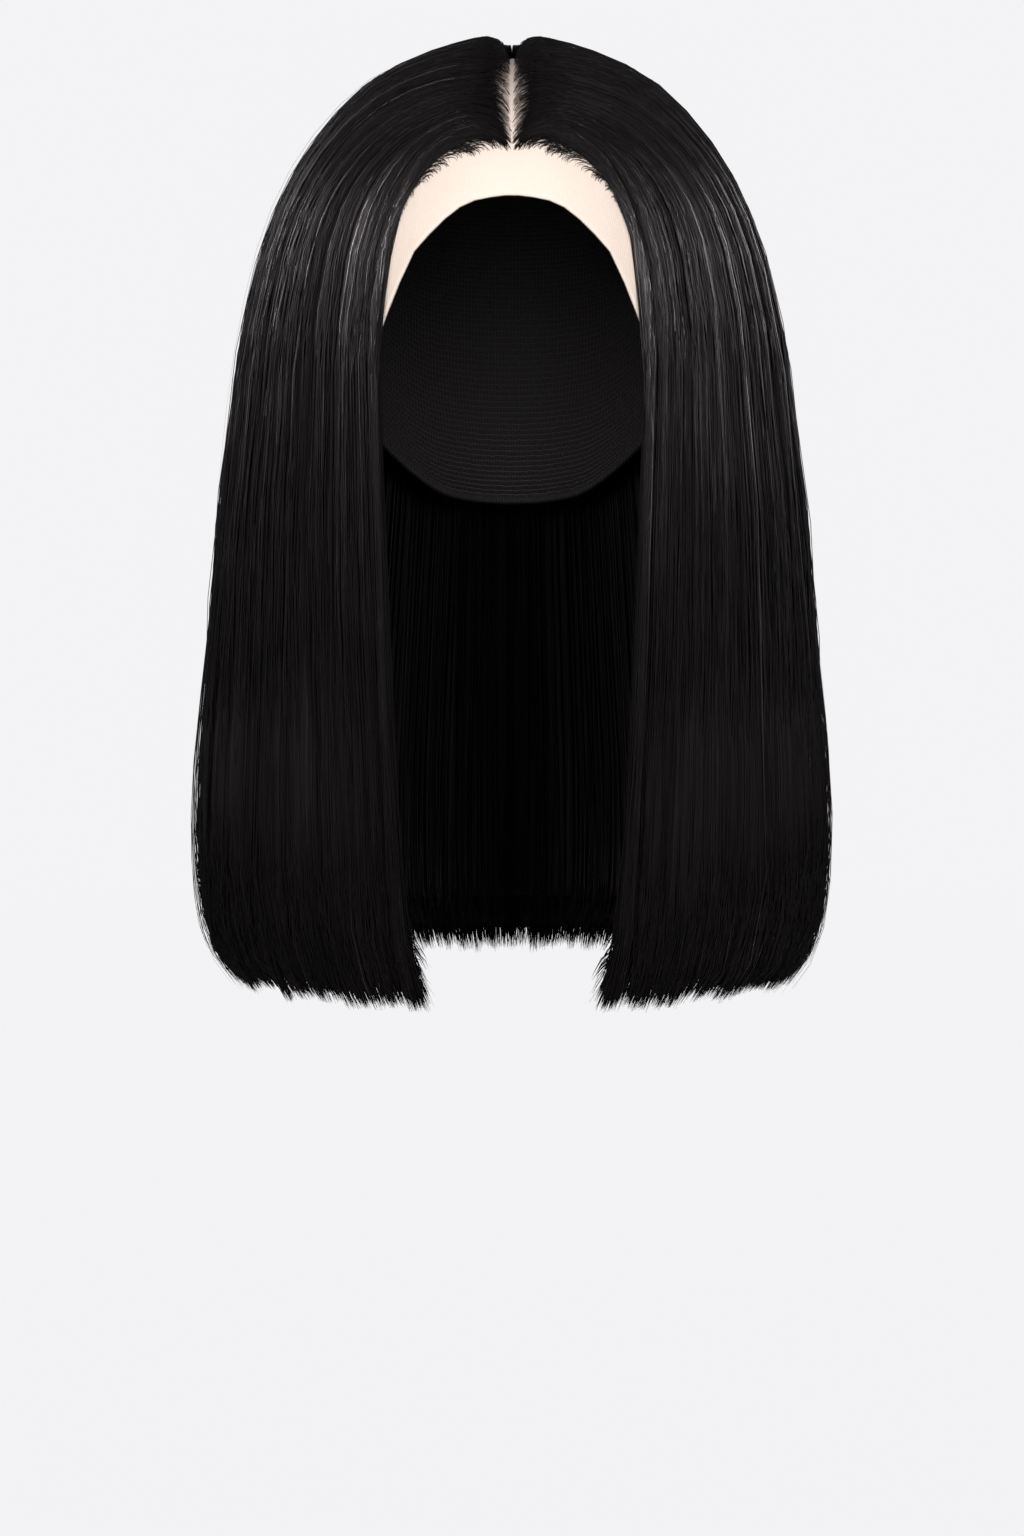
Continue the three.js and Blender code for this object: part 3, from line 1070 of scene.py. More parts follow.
@dataclass
class HairSection:
    """One section of the hair of one side: its mass and its strands."""

    name: str
    side: Side
    first: int
    last: int
    strands: int
    seed: int
    form: HairForm = HairForm()
    radius: float = 0.2
    clump_width: float = 0.0048
    rows: tuple[float, ...] = (
        0, 0.25, 0.6, 1, 1.5, 2, 2.5, 3, 3.45, 3.9, 4.35, 4.8, 5.3, 6, 7.6, 10.4, 11.3, 12,
    )
    root_rows: float = 1.0
    mass_inset: float = 1.5
    mass_start: float = 1.0
    mass_end: float = 11.5
    uneven: float = 4.2
    feather: float = 0.42
    crest: float = 3.3
    depth_reach: float = 2.8
    ends: int = 700
    inside: int = 190
    face_gap: float = 0.02
    side_gap: float = 0.0006
    middle_gap: float = 0.3
    hook_reach: float = 0.028
    hook_rows: float = 1.3
    parting_pull: float = 0.9
    tip_row: float = 11.2
    end_row: float = 11.0
    inner_row: float = 4.4

    def reach(self) -> tuple[float, float]:
        """Returns the places round the hair where the section starts and ends."""
        return float(LOCK_EDGES[self.first]), float(LOCK_EDGES[self.last])

    def mirror(self, points: Array) -> Array:
        """Returns points of the right half on this section's own side."""
        return self.side.place(points)

    def build_mass(self, material: Material) -> Object:
        """Builds the section's mass, a wall under the strands.

        Args:
            material: The mass's material.

        Returns:
            The piece.
        """
        start, end = self.reach()
        around = np.linspace(start, end, (self.last - self.first) * 6 + 1)
        around[0] += self.face_gap if self.first == 0 else self.side_gap
        around[-1] -= self.side_gap
        row = np.concatenate([
            np.linspace(self.mass_start, 6, 22)[:-1],
            np.linspace(6, self.mass_end, 15),
        ])
        grid_row, grid_around = np.meshgrid(row, around, indexing="ij")
        grid_row = grid_row - 0.06 * (grid_row - self.mass_start) * smooth(1 - grid_around / 0.07)
        taper = smooth((grid_row - self.mass_start) / 1.2)
        outer = self.form.at(grid_around, grid_row, self.mass_inset + 2.0 * (1 - taper))
        inner = self.form.inner(grid_around, grid_row, less=0.6)
        closed = outer - self.form.outward(grid_around, grid_row) * 0.4
        inner = np.where((taper < 0.02)[..., None], closed, inner)
        if self.first == 0:
            lift = self.feather * smooth(1 - grid_around / 0.12) * (1 - smooth((grid_row - 5) / 1.2))
            inner = self.form.head.keep_off(inner + (outer - inner) * lift[..., None], 1.3)
        for face in (outer, inner):
            face[..., 0] = np.maximum(face[..., 0], self.middle_gap)
        flow = np.stack([grid_around * 0.3, grid_row * 0.033], -1)
        name = self.name + "_mass"
        mesh = wall_mesh(name, self.mirror(outer), self.mirror(inner), flow, self.side is Side.RIGHT)
        mesh.materials.append(material)
        return settle(add_object(name, mesh), Slot.HAIR, self.name)

    def strand_lines(self, rng: Random) -> Strands:
        """Lays the strands that run from the parting to the hem.

        Args:
            rng: The section's random numbers.

        Returns:
            Their points in millimetres, radii and tones.
        """
        start, end = self.reach()
        count = self.strands
        own = rng.uniform(start, end, count)
        clumps = np.sort(rng.uniform(start, end, int((end - start) / self.clump_width)))
        nearest = clumps[np.argmin(np.abs(own[:, None] - clumps[None, :]), axis=1)]
        pull = rng.uniform(0.1, 0.6, count)
        near, lot = rng.random(count) < 0.3, 0.3 * rng.random(count)
        root = np.where(near, lot, rng.uniform(0.3, 1, count))
        root = self.root_rows * (0.2 + 0.8 * smooth(1 - own / 0.42)) * root
        row = self.stations(rng, count)
        share = row / LAST_ROW
        row = row + root[:, None] * (1 - smooth(row / 1.9))
        around = self.gather(rng, own, nearest, pull, row, root)
        points = self.form.at(around, row, self.sink(rng, nearest, row))
        points = self.rise(rng, points, own, row, root)
        trim = rng.gamma(1.3, 0.7, count) + self.uneven * scatter(nearest, 2.0) ** 1.5
        points[..., 2] += (trim[:, None] - 3.4) * np.clip(row - (LAST_ROW - 1.6), 0, None) / 1.6
        self.fan(points, own, row, rng)
        points[..., 0] = self.meet_middle(points[..., 0], row, rng)
        bare = 0.1 + 0.5 * rng.random(count)[:, None] ** 4
        thin = bare + (1 - bare) * smooth((row - root[:, None]) / self.hook_rows)
        thick = radii(rng, count, self.radius) * thin * pointed(share, 0.93)
        tone = rng.beta(1.3, 2.0, count) * (0.3 + 1.7 * scatter(nearest, 3.0) ** 1.6)
        tone = tone * highlights(rng, count)
        return self.mirror(points), thick, painted_sheen(tone, row)

    def gather(
        self, rng: Random, own: Array, nearest: Array, pull: Array, row: Array, root: Array,
    ) -> Array:
        """Draws strands together in clumps as they fall, and hooks their roots.

        Args:
            rng: The section's random numbers.
            own: Each strand's own place round the hair.
            nearest: The place of its clump.
            pull: The share of the way that it is drawn to its clump.
            row: Each point's row.
            root: The row of each strand's root.

        Returns:
            Each point's place round the hair.
        """
        count = len(own)
        fall = row / LAST_ROW
        around = own[:, None] + (nearest - own)[:, None] * pull[:, None] * smooth(fall * 1.2)
        around = around + self.wander(around, row) + rng.normal(0, 0.0025, count)[:, None] * fall**2
        hook = np.minimum(own * 0.5, self.hook_reach) * rng.uniform(0.4, 1.2, count)
        around = around - hook[:, None] * (1 - smooth((row - root[:, None]) / self.hook_rows))
        around = around + (nearest[:, None] - around) * 0.75 * self.at_tip(row)
        return np.clip(around, 0.0, 1.0)

    def sink(self, rng: Random, nearest: Array, row: Array) -> Array:
        """Returns how deep strands lie, alike within a clump.

        Args:
            rng: The section's random numbers.
            nearest: The place of each strand's clump.
            row: Each point's row.

        Returns:
            Millimetres below the outer surface, in the shape of row.
        """
        clump_depth = 0.35 * np.sin(nearest * 910.0) + 0.3 * np.sin(nearest * 377.0 + 2.0)
        depth = self.depth_reach * rng.power(0.7, len(nearest))[:, None] * (0.4 + 0.6 * smooth(row / 4))
        depth = depth + (clump_depth[:, None] + 0.3) * smooth(row / 7)
        depth = depth + (2.6 * scatter(nearest, 1.0)[:, None] - depth) * 0.6 * self.at_tip(row)
        return np.clip(depth, 0, None)

    def rise(self, rng: Random, points: Array, own: Array, row: Array, root: Array) -> Array:
        """Starts strands on the cap and lifts them over the crest by the parting.

        Args:
            rng: The section's random numbers.
            points: The strands' points, strands by points by three.
            own: Each strand's own place round the hair.
            row: Each point's row.
            root: The row of each strand's root.

        Returns:
            The new points.
        """
        lifted = self.form.head.lay(points, 1.25 + 0.4 * rng.random(len(own))[:, None])
        settled = smooth((row - root[:, None]) / (0.16 + 1.2 * root[:, None]))
        points = lifted + (points - lifted) * settled[..., None]
        inland = smooth((own[:, None] - 0.06) / 0.2)
        points[..., 2] += self.crest * smooth(row / 0.15) * (1 - smooth((row - 0.25) / 1.25)) * inland
        points[..., 0] -= self.parting_pull * np.clip(1 - row / 0.35, 0, 1)
        return points

    def at_tip(self, row: Array) -> Array:
        """Returns 0 above the tips and 1 at the hem."""
        return smooth((row - self.tip_row) / (LAST_ROW - self.tip_row))

    def fan(self, points: Array, own: Array, row: Array, rng: Random) -> None:
        """Spreads the tips by the curtain's front edge, in place.

        Args:
            points: The strands' points, strands by points by three.
            own: Each strand's place round the hair.
            row: Each point's row.
            rng: The section's random numbers.
        """
        near = smooth(1 - own / 0.05)[:, None] * smooth((row - 10.4) / 1.6)
        points[..., 0] -= near * rng.normal(-0.4, 2.0, len(own))[:, None]
        points[..., 2] += near * rng.gamma(1.6, 3.4, len(own))[:, None]

    def stations(self, rng: Random, count: int) -> Array:
        """Returns the rows of strands' points, a little different for each strand.

        Args:
            rng: The section's random numbers.
            count: How many strands there are.

        Returns:
            The rows, strands by points.
        """
        row = np.array(self.rows, dtype=float)
        ahead = np.append(np.diff(row), 0.0)
        behind = np.append(0.0, np.diff(row))
        shift = rng.uniform(-0.3, 0.3, count)[:, None]
        return row + np.where(shift > 0, ahead, behind) * shift

    def meet_middle(self, across: Array, row: Array, rng: Random) -> Array:
        """Keeps strands to their side at the parting and mingles them below.

        Args:
            across: Each point's distance from the middle.
            row: Each point's row.
            rng: The section's random numbers.

        Returns:
            The new distances from the middle.
        """
        stray = rng.normal(0, 0.9, len(across))[:, None] * smooth((row - 2.5) / 3)
        floor = 0.15 - 1.5 * smooth((row - 2.5) / 2)
        return np.maximum(across + stray, floor)

    def wander(self, around: Array, row: Array) -> Array:
        """Returns how far strands stray sideways, alike for neighbours.

        Args:
            around: Places round the hair, from 0 at the front edge to 1 at the back.
            row: Places from the parting to the hem.

        Returns:
            The shares of the way round, in the shape of around.
        """
        fall = row / LAST_ROW
        phase = 1.7 if self.side is Side.LEFT else 4.1
        slow = 0.0026 * np.sin(17 * around + 0.6 * row + phase)
        quick = 0.0005 * np.sin(71 * around - 0.9 * row + 2 * phase)
        inland = smooth(around / 0.05) * smooth((1 - around) / 0.03)
        return (slow + quick) * smooth(fall * 1.4) * inland

    def end_lines(self, rng: Random) -> Strands:
        """Lays short strands that fill the wall's thickness at the hem.

        Args:
            rng: The section's random numbers.

        Returns:
            Their points in millimetres, radii and tones.
        """
        start, end = self.reach()
        count = self.ends
        own = rng.uniform(start, end, count)
        tuft = np.round(own / 0.0042) * 0.0042
        share = np.array([0, 0.6, 1.0])
        row = self.end_row + (LAST_ROW - self.end_row) * np.broadcast_to(share, (count, 3))
        layer = np.round(rng.uniform(0.5, 4.5, count)) / 5
        around = own + rng.normal(0, 0.001, count)
        around = np.clip(around[:, None] + (tuft - around)[:, None] * 0.8 * share**2, 0, 1)
        wall = self.form.thickness(around, row)
        depth = wall * (layer + rng.uniform(-0.09, 0.09, count))[:, None]
        points = self.form.at(around, row, depth)
        trim = rng.gamma(1.3, 0.8, count) + self.uneven * scatter(tuft + layer, 4.0) ** 1.5
        points[..., 2] += (trim[:, None] - 2.6) * share
        self.fan(points, own, row, rng)
        points[..., 0] = self.meet_middle(points[..., 0], row, rng)
        thick = radii(rng, count, self.radius * 1.5) * np.array([1, 0.85, 0.12])
        return self.mirror(points), thick, painted_sheen(rng.beta(1.3, 2.4, count), row)

    def inner_lines(self, rng: Random) -> Strands:
        """Lays strands along the inside of the hanging hair.

        Args:
            rng: The section's random numbers.

        Returns:
            Their points in millimetres, radii and tones.
        """
        start, end = self.reach()
        count = self.inside
        own = rng.uniform(start, end, count)
        share = np.linspace(0, 1, 9)
        row = self.inner_row + (LAST_ROW - self.inner_row) * np.broadcast_to(share, (count, 9))
        around = np.clip(own[:, None] + rng.normal(0, 0.006, count)[:, None] * share, 0.004, 1)
        less = rng.uniform(-0.7, 1.0, count)[:, None] * smooth(share * 3)
        points = self.form.inner(around, row) + self.form.outward(around, row) * less[..., None]
        points[..., 2] += rng.gamma(1.5, 1.4, count)[:, None] * smooth((share - 0.85) / 0.15)
        points[..., 0] = self.meet_middle(points[..., 0], row, rng)
        thick = radii(rng, count, self.radius * 1.6) * pointed(share, 0.88)
        return self.mirror(points), thick, painted_sheen(0.5 * rng.beta(1.4, 3, count), row)

    def build_strands(self, tree: StrandTree, material: Material) -> Object:
        """Builds the section's strands.

        Args:
            tree: The tree that sweeps them.
            material: Their material.

        Returns:
            The piece.
        """
        rng = np.random.default_rng(self.seed)
        bundle = StrandBundle()
        bundle.add(*self.strand_lines(rng))
        bundle.add(*self.end_lines(rng))
        bundle.add(*self.inner_lines(rng))
        if self.first == 0:
            bundle.add(*Hairline(self.side, self.form).sweep_lines(rng))
        piece = tree.sweep(bundle, self.name + "_strands", material)
        return settle(piece, Slot.HAIR)


@dataclass
class Hairline:
    """The hair that starts on the lace: swept-up strands and short baby hairs."""

    side: Side
    form: HairForm = HairForm()
    sweeps: int = 480
    babies: int = 340
    feather: float = 0.42
    radius: float = 0.2
    middle_gap: float = 0.3
    first_row: float = 0.3
    row_span: float = 6.1
    baby_tone: float = 0.12

    def sweep_lines(self, rng: Random) -> Strands:
        """Lays strands that rise from the hairline and fall in the curtain's edge.

        Those that start near the parting rise to the front edge, and those that
        start at the temples stay inside it.

        Args:
            rng: The section's random numbers.

        Returns:
            Their points in millimetres, radii and tones.
        """
        count = self.sweeps
        first = self.first_row + self.row_span * rng.random(count) ** 1.35
        share = np.array([0, 0.014, 0.036, 0.07, 0.115, 0.17, 0.24, 0.33, 0.45, 0.62, 0.84, 0.94, 1.0])
        shift = rng.uniform(0, 0.5, count)[:, None] * np.append(np.diff(share), 0.0)
        share = np.where(share > 0, share + shift, 0.0)
        row = first[:, None] + (LAST_ROW - first)[:, None] * share
        rise = np.clip(1.04 - first / 6.2 + rng.normal(0, 0.24, count), 0.02, 1.0)
        start = 0.9 * rng.power(1.6, count) * np.clip(rise + 0.35, 0, 1) - 0.05
        climb = np.clip((row - first[:, None]) / (0.9 + 1.1 * rise)[:, None], 0, 1)
        climb = 1 - (1 - climb) ** 2
        place = start[:, None] + (rise - start)[:, None] * climb
        place = np.clip(place + 0.05 * np.sin(row * 1.2 + 9 * rise[:, None]) * smooth(row / 7), -0.3, 1)
        lowest = self.feather * rng.uniform(0.85, 1.6, count)[:, None] * (1 - smooth((row - 5) / 1.4))
        place = np.maximum(place, lowest)
        bulge = (1.1 + 0.8 * rng.random(count))[:, None] * smooth((row - first[:, None]) / 0.8)
        loose = rng.normal(0, 0.7, count)[:, None] * smooth(row / LAST_ROW) ** 2
        points = self.form.edge_face(row, place, bulge)
        flat = smooth((0.25 - place) / 0.3) * smooth((5.2 - row) / 1.0)
        laid = self.form.head.lay(points, 1.3 + 0.5 * np.clip(place, 0, 1))
        points = points + (laid - points) * flat[..., None]
        points = self.form.head.keep_off(points, 1.25)
        points[..., 0] += loose * 1.6
        points[..., 1] += loose * np.sin(first * 40)[:, None]
        points[..., 0] -= rng.normal(-0.5, 1.4, count)[:, None] * smooth((share - 0.8) / 0.2)
        points[..., 2] += (rng.gamma(1.5, 4.4, count)[:, None] - 2.5) * smooth((share - 0.75) / 0.25)
        points[..., 0] = np.maximum(points[..., 0], self.middle_gap)
        thin = 0.22 + 0.78 * smooth((row - first[:, None]) / 1.2)
        thick = radii(rng, count, self.radius) * thin * pointed(share, 0.94)
        # Painted shade: sweeps are darker where they lie low on the edge face by the hairline, in the
        # roll's shade; a few also stand out at random.
        painted_shade_and_standouts = (0.3 + 0.7 * smooth((place - 0.4) / 0.5)) * highlights(rng, count)[:, None]
        return self.side.place(points), thick, painted_sheen(rng.beta(1.3, 2.4, count), row) * painted_shade_and_standouts

    def baby_lines(self, rng: Random) -> Strands:
        """Lays short fine hairs on the lace along the hairline.

        Args:
            rng: The baby hairs' random numbers.

        Returns:
            Their points in millimetres, radii and tones.
        """
        count = self.babies
        up = np.array([0.0, 0.0, 1.0])
        first = 6.0 * rng.random(count)
        ahead = self.form.hairline(np.clip(first + 0.25, 0, 8))
        along = unit(ahead - self.form.hairline(first))
        root = self.form.edge_face(first, 0.6 * rng.random(count) ** 1.4 - 0.07, np.zeros(count))
        root = root + rng.normal(0, 0.5, (count, 3)) * np.array([1, 0, 1])
        share = np.linspace(0, 1, 7)
        length = rng.uniform(6, 12.5, count) * np.interp(first, [0, 3, 6], [1, 0.85, 0.5])
        bend = rng.uniform(1.1, 2.1, count)[:, None] * share
        climb = np.sin(bend) / bend[:, -1:]
        stray = (1 - np.cos(bend)) / bend[:, -1:] + rng.normal(0.3, 0.12, count)[:, None] * share
        reach = climb[..., None] * up + stray[..., None] * along[:, None, :]
        points = root[:, None, :] + reach * length[:, None, None]
        growth = 1.15 + rng.uniform(0.3, 2.2, count)[:, None] * share[None, :]
        points = self.form.head.lay(points, growth)
        thick = rng.uniform(0.12, 0.27, count)[:, None] * (0.3 + 0.9 * share * (1.4 - share))
        return self.side.place(points), thick, np.full_like(thick, self.baby_tone)

    def build(self, tree: StrandTree, material: Material) -> Object:
        """Builds the baby hairs of one side.

        Args:
            tree: The tree that sweeps them.
            material: Their material.

        Returns:
            The piece.
        """
        bundle = StrandBundle()
        bundle.add(*self.baby_lines(np.random.default_rng(90 + self.side.value)))
        name = "baby_hair_" + self.side.name.lower()
        return settle(tree.sweep(bundle, name, material), Slot.HAIR)


@dataclass
class NapeHair:
    """The lowest hair, sewn along the nape, which shows between the curtains."""

    form: HairForm = HairForm()
    top: float = 6.6
    bottom: float = 11.65
    start: float = 0.6
    clearance: float = 1.8
    wall: float = 8.0
    strands: int = 640
    seed: int = 31
    radius: float = 0.36
    mass_rise: float = 0.8
    mass_wall: float = 5.0

    def at(self, along: Array, row: Array, depth: Array) -> Array:
        """Returns points of the nape hair.

        Args:
            along: Places from -1 at its left end to 1 at its right end.
            row: Places in the hair's rows.
            depth: Millimetres inward from the hair that hangs over it.

        Returns:
            The points, in millimetres.
        """
        around = 1 - (1 - self.start) * np.abs(along)
        sunk = self.form.inner(around, row) - self.form.outward(around, row) * depth[..., None]
        sunk[..., 0] = np.where(np.abs(along) < 1e-6, 0.0, sunk[..., 0])
        points = self.form.head.keep_off(sunk, self.form.on_cap)
        points[..., 0] *= np.where(along < 0, -1.0, 1.0)
        return points

    def build_mass(self, material: Material) -> Object:
        """Builds the nape hair's mass.

        Args:
            material: Its material.

        Returns:
            The piece.
        """
        along = np.linspace(-1, 1, 65)
        row = np.linspace(self.top, self.bottom - self.mass_rise, 20)
        grid_row, grid_along = np.meshgrid(row, along, indexing="ij")
        depth = np.full_like(grid_row, self.clearance)
        outer = self.at(grid_along, grid_row, depth)
        inner = self.at(grid_along, grid_row, depth + self.mass_wall)
        flow = np.stack([grid_along * 0.12, grid_row * 0.033], -1)
        mesh = wall_mesh("nape_hair_mass", outer, inner, flow)
        mesh.materials.append(material)
        return settle(add_object("nape_hair_mass", mesh), Slot.HAIR, "nape_hair")

    def build_strands(self, tree: StrandTree, material: Material) -> Object:
        """Builds the strands on its inner side.

        Args:
            tree: The tree that sweeps them.
            material: Their material.

        Returns:
            The piece.
        """
        rng = np.random.default_rng(self.seed)
        count = self.strands
        own = rng.uniform(-1, 1, count)
        share = np.array([0, 0.08, 0.2, 0.34, 0.5, 0.66, 0.8, 0.91, 1.0])
        end = self.bottom + rng.normal(-0.05, 0.1, count)
        row = self.top + (end - self.top)[:, None] * share
        drift = rng.normal(0, 0.012, count) + 0.01 * np.sin(own * 9)
        place = np.clip(own[:, None] + drift[:, None] * share, -1, 1)
        place = np.where(np.abs(place) < 1e-4, 1e-4, place)
        inward = rng.power(2.2, count)[:, None] * (self.wall + 0.4) * np.ones_like(share)
        points = self.at(place, row, self.clearance + inward)
        points[..., 2] += rng.gamma(1.6, 1.8, count)[:, None] * smooth((share - 0.8) / 0.2)
        thick = radii(rng, count, self.radius) * pointed(share, 0.86)
        bundle = StrandBundle()
        bundle.add(points, thick, painted_sheen(0.3 * rng.beta(1.4, 3, count), row))
        return settle(tree.sweep(bundle, "nape_hair_strands", material), Slot.HAIR)


@dataclass
class Flyaways:
    """Fine stray hairs that stand a little off the surface."""

    form: HairForm = HairForm()
    count: int = 100
    draped: int = 70
    crossing: int = 16
    seed: int = 77

    def loose_lines(self, rng: Random) -> Strands:
        """Lays short stretches of hair that stand off the surface anywhere.

        Args:
            rng: The stray hairs' random numbers.

        Returns:
            Their points in millimetres, radii and tones.
        """
        first = rng.uniform(0.2, 9, self.count)
        length = np.minimum(rng.uniform(1.5, 6.5, self.count), LAST_ROW - first)
        share = np.linspace(0, 1, 11)
        row = first[:, None] + length[:, None] * share
        place = rng.power(0.8, self.count)
        place = np.where(rng.random(self.count) < 0.3, place * 0.06, place)
        around = place[:, None] + rng.normal(0, 0.012, self.count)[:, None] * share
        around = np.clip(around + 0.006 * np.sin(row * 1.4 + place[:, None] * 40), 0, 1)
        stand = rng.gamma(1.4, 0.5, self.count)[:, None] * np.sin(share * math.pi * 0.85)
        points = self.form.at(around, row, -np.clip(stand, 0, 2.5))
        points[..., 0] = np.maximum(points[..., 0], 0.5)
        thick = rng.uniform(0.045, 0.085, self.count)[:, None] * (1 - 0.6 * share)
        return points, thick, painted_sheen(rng.beta(2.5, 2.0, self.count), row)

    def draped_lines(self, rng: Random) -> Strands:
        """Lays hairs that hang a little outside the sides, down to the hem.

        Args:
            rng: The stray hairs' random numbers.

        Returns:
            Their points in millimetres, radii and tones.
        """
        share = np.linspace(0, 1, 11)
        first = rng.uniform(5, 8, self.draped)[:, None]
        row = first + (LAST_ROW - first) * share
        around = rng.uniform(0.34, 0.6, self.draped)[:, None]
        around = around + rng.normal(0, 0.008, self.draped)[:, None] * share
        stand = rng.uniform(0.6, 3.6, self.draped)[:, None] * smooth((row - 7) / 4.5)
        points = self.form.at(around, row, -stand)
        points[..., 2] += rng.uniform(-2.5, 6, self.draped)[:, None] * smooth((share - 0.7) / 0.3)
        thick = rng.uniform(0.09, 0.15, self.draped)[:, None] * (1 - 0.75 * share**3)
        return points, thick, painted_sheen(rng.beta(1.5, 2.0, self.draped), row)

    def crossing_lines(self, rng: Random) -> Strands:
        """Lays hairs that drift from the curtain's edge across the opening.

        Args:
            rng: The stray hairs' random numbers.

        Returns:
            Their points in millimetres, radii and tones.
        """
        share = np.linspace(0, 1, 11)
        first = rng.uniform(6.5, 9.5, self.crossing)[:, None]
        row = first + (LAST_ROW - first) * share
        place = rng.uniform(0.3, 1, self.crossing)[:, None] * np.ones_like(share)
        points = self.form.edge_face(row, place, np.zeros_like(row))
        points[..., 0] -= rng.uniform(0.5, 6.5, self.crossing)[:, None] * share**2
        points[..., 2] += rng.uniform(-2, 14, self.crossing)[:, None] * share**2
        thick = rng.uniform(0.05, 0.09, self.crossing)[:, None] * (1 - 0.6 * share)
        return points, thick, painted_sheen(rng.beta(1.5, 2.0, self.crossing), row)

    def build(self, tree: StrandTree, material: Material) -> Object:
        """Builds the stray hairs of both sides as one piece.

        Args:
            tree: The tree that sweeps them.
            material: Their material.

        Returns:
            The piece.
        """
        bundle = StrandBundle()
        rng = np.random.default_rng(self.seed)
        for side in Side:
            for lines in (self.loose_lines, self.draped_lines, self.crossing_lines):
                points, thick, tone = lines(rng)
                bundle.add(side.place(points), thick, tone)
        return settle(tree.sweep(bundle, "stray_hairs", material), Slot.HAIR)


# Columns: angle round the head from the forehead, and the edge's drop in millimetres.
LACE_EDGE = np.array([
    (0, 59.0), (14, 63.0), (27, 78.4), (34, 97.1), (44, 119.8),
    (56, 137.6), (70, 140.0), (82, 126.2), (90, 117.0),
])
NET_EDGE = np.array([
    (90, 117.0), (104, 118.0), (118, 129.5), (134, 149.2),
    (150, 163.8), (165, 168.0), (180, 169.0),
])


@dataclass
class CapHalf:
    """The lace front or the net cap: a thin shell on the head.

    It runs half round from the angle start, and shift moves it along Y. rim is
    how much thicker its edge is, row_gap the distance between its sewn rows, or
    0 for none, and row_height how far a sewn row stands out inside.
    """

    name: str
    edge: Array
    start: float
    wall: float
    shift: float
    slot: Slot
    head: HeadForm = HeadForm()
    crown: float = 0.004
    rim: float = 0.0
    row_gap: float = 0.0
    row_height: float = 0.0
    longest: float = 190.0
    rings: int = 66
    steps: int = 44

    def edge_drop(self, degrees: Array) -> Array:
        """Returns how far the shell's edge lies below the crown.

        Args:
            degrees: Angles round the head from the forehead.

        Returns:
            Millimetres, in the shape of degrees.
        """
        angles = self.edge[:, 0]
        k = np.clip(np.searchsorted(angles, degrees, side="left") - 1, 0, len(angles) - 2)
        within = np.clip((degrees - angles[k]) / (angles[k + 1] - angles[k]), 0, 1)
        return between(self.edge[:, 1], k + within)

    def sheet(self, angle: Array, share: Array, growth: Array) -> Array:
        """Returns points of the shell.

        Args:
            angle: Angles round the head from the forehead, in radians.
            share: Shares of the way from the crown to the edge.
            growth: Millimetres outside the head.

        Returns:
            The points, in millimetres.
        """
        folded = np.degrees(np.abs(np.arctan2(np.sin(angle), np.cos(angle))))
        edge_z = self.head.crown_height - self.edge_drop(folded)
        height = np.where(edge_z > 0, self.head.crown_height, self.head.foot_height)
        tilt = np.arccos(edge_z / height) * share
        height = np.where(tilt < math.pi / 2, self.head.crown_height, self.head.foot_height)
        return np.stack([
            (self.head.half_breadth + growth) * np.sin(tilt) * np.sin(angle),
            -(self.head.half_length + growth) * np.sin(tilt) * np.cos(angle) + self.shift,
            -self.head.crown_height + (height + growth) * np.cos(tilt),
        ], -1)

    def build(self, material: Material) -> Object:
        """Builds the shell.

        Args:
            material: Its material.

        Returns:
            The piece.
        """
        share = self.crown + (1 - self.crown) * np.linspace(0, 1, self.rings)
        angle = self.start + math.pi * np.linspace(0, 1, self.steps)
        grid_share, grid_angle = np.meshgrid(share, angle, indexing="ij")
        edge = smooth((grid_share - 0.965) / 0.03)
        outer = self.sheet(grid_angle, grid_share, self.wall + self.rim * edge)
        inside = -self.rim * edge
        if self.row_gap > 0:
            ridge = np.cos(math.pi * grid_share * self.longest / self.row_gap) ** 16
            inside = inside - self.row_height * ridge * (1 - edge)
        inner = self.sheet(grid_angle, grid_share, inside)
        flow = np.stack([grid_angle * 0.085, grid_share * 0.17], -1)
        mesh = wall_mesh(self.name + "_shell", outer, inner, flow)
        mesh.materials.append(material)
        return settle(add_object(self.name + "_shell", mesh), self.slot, self.name)


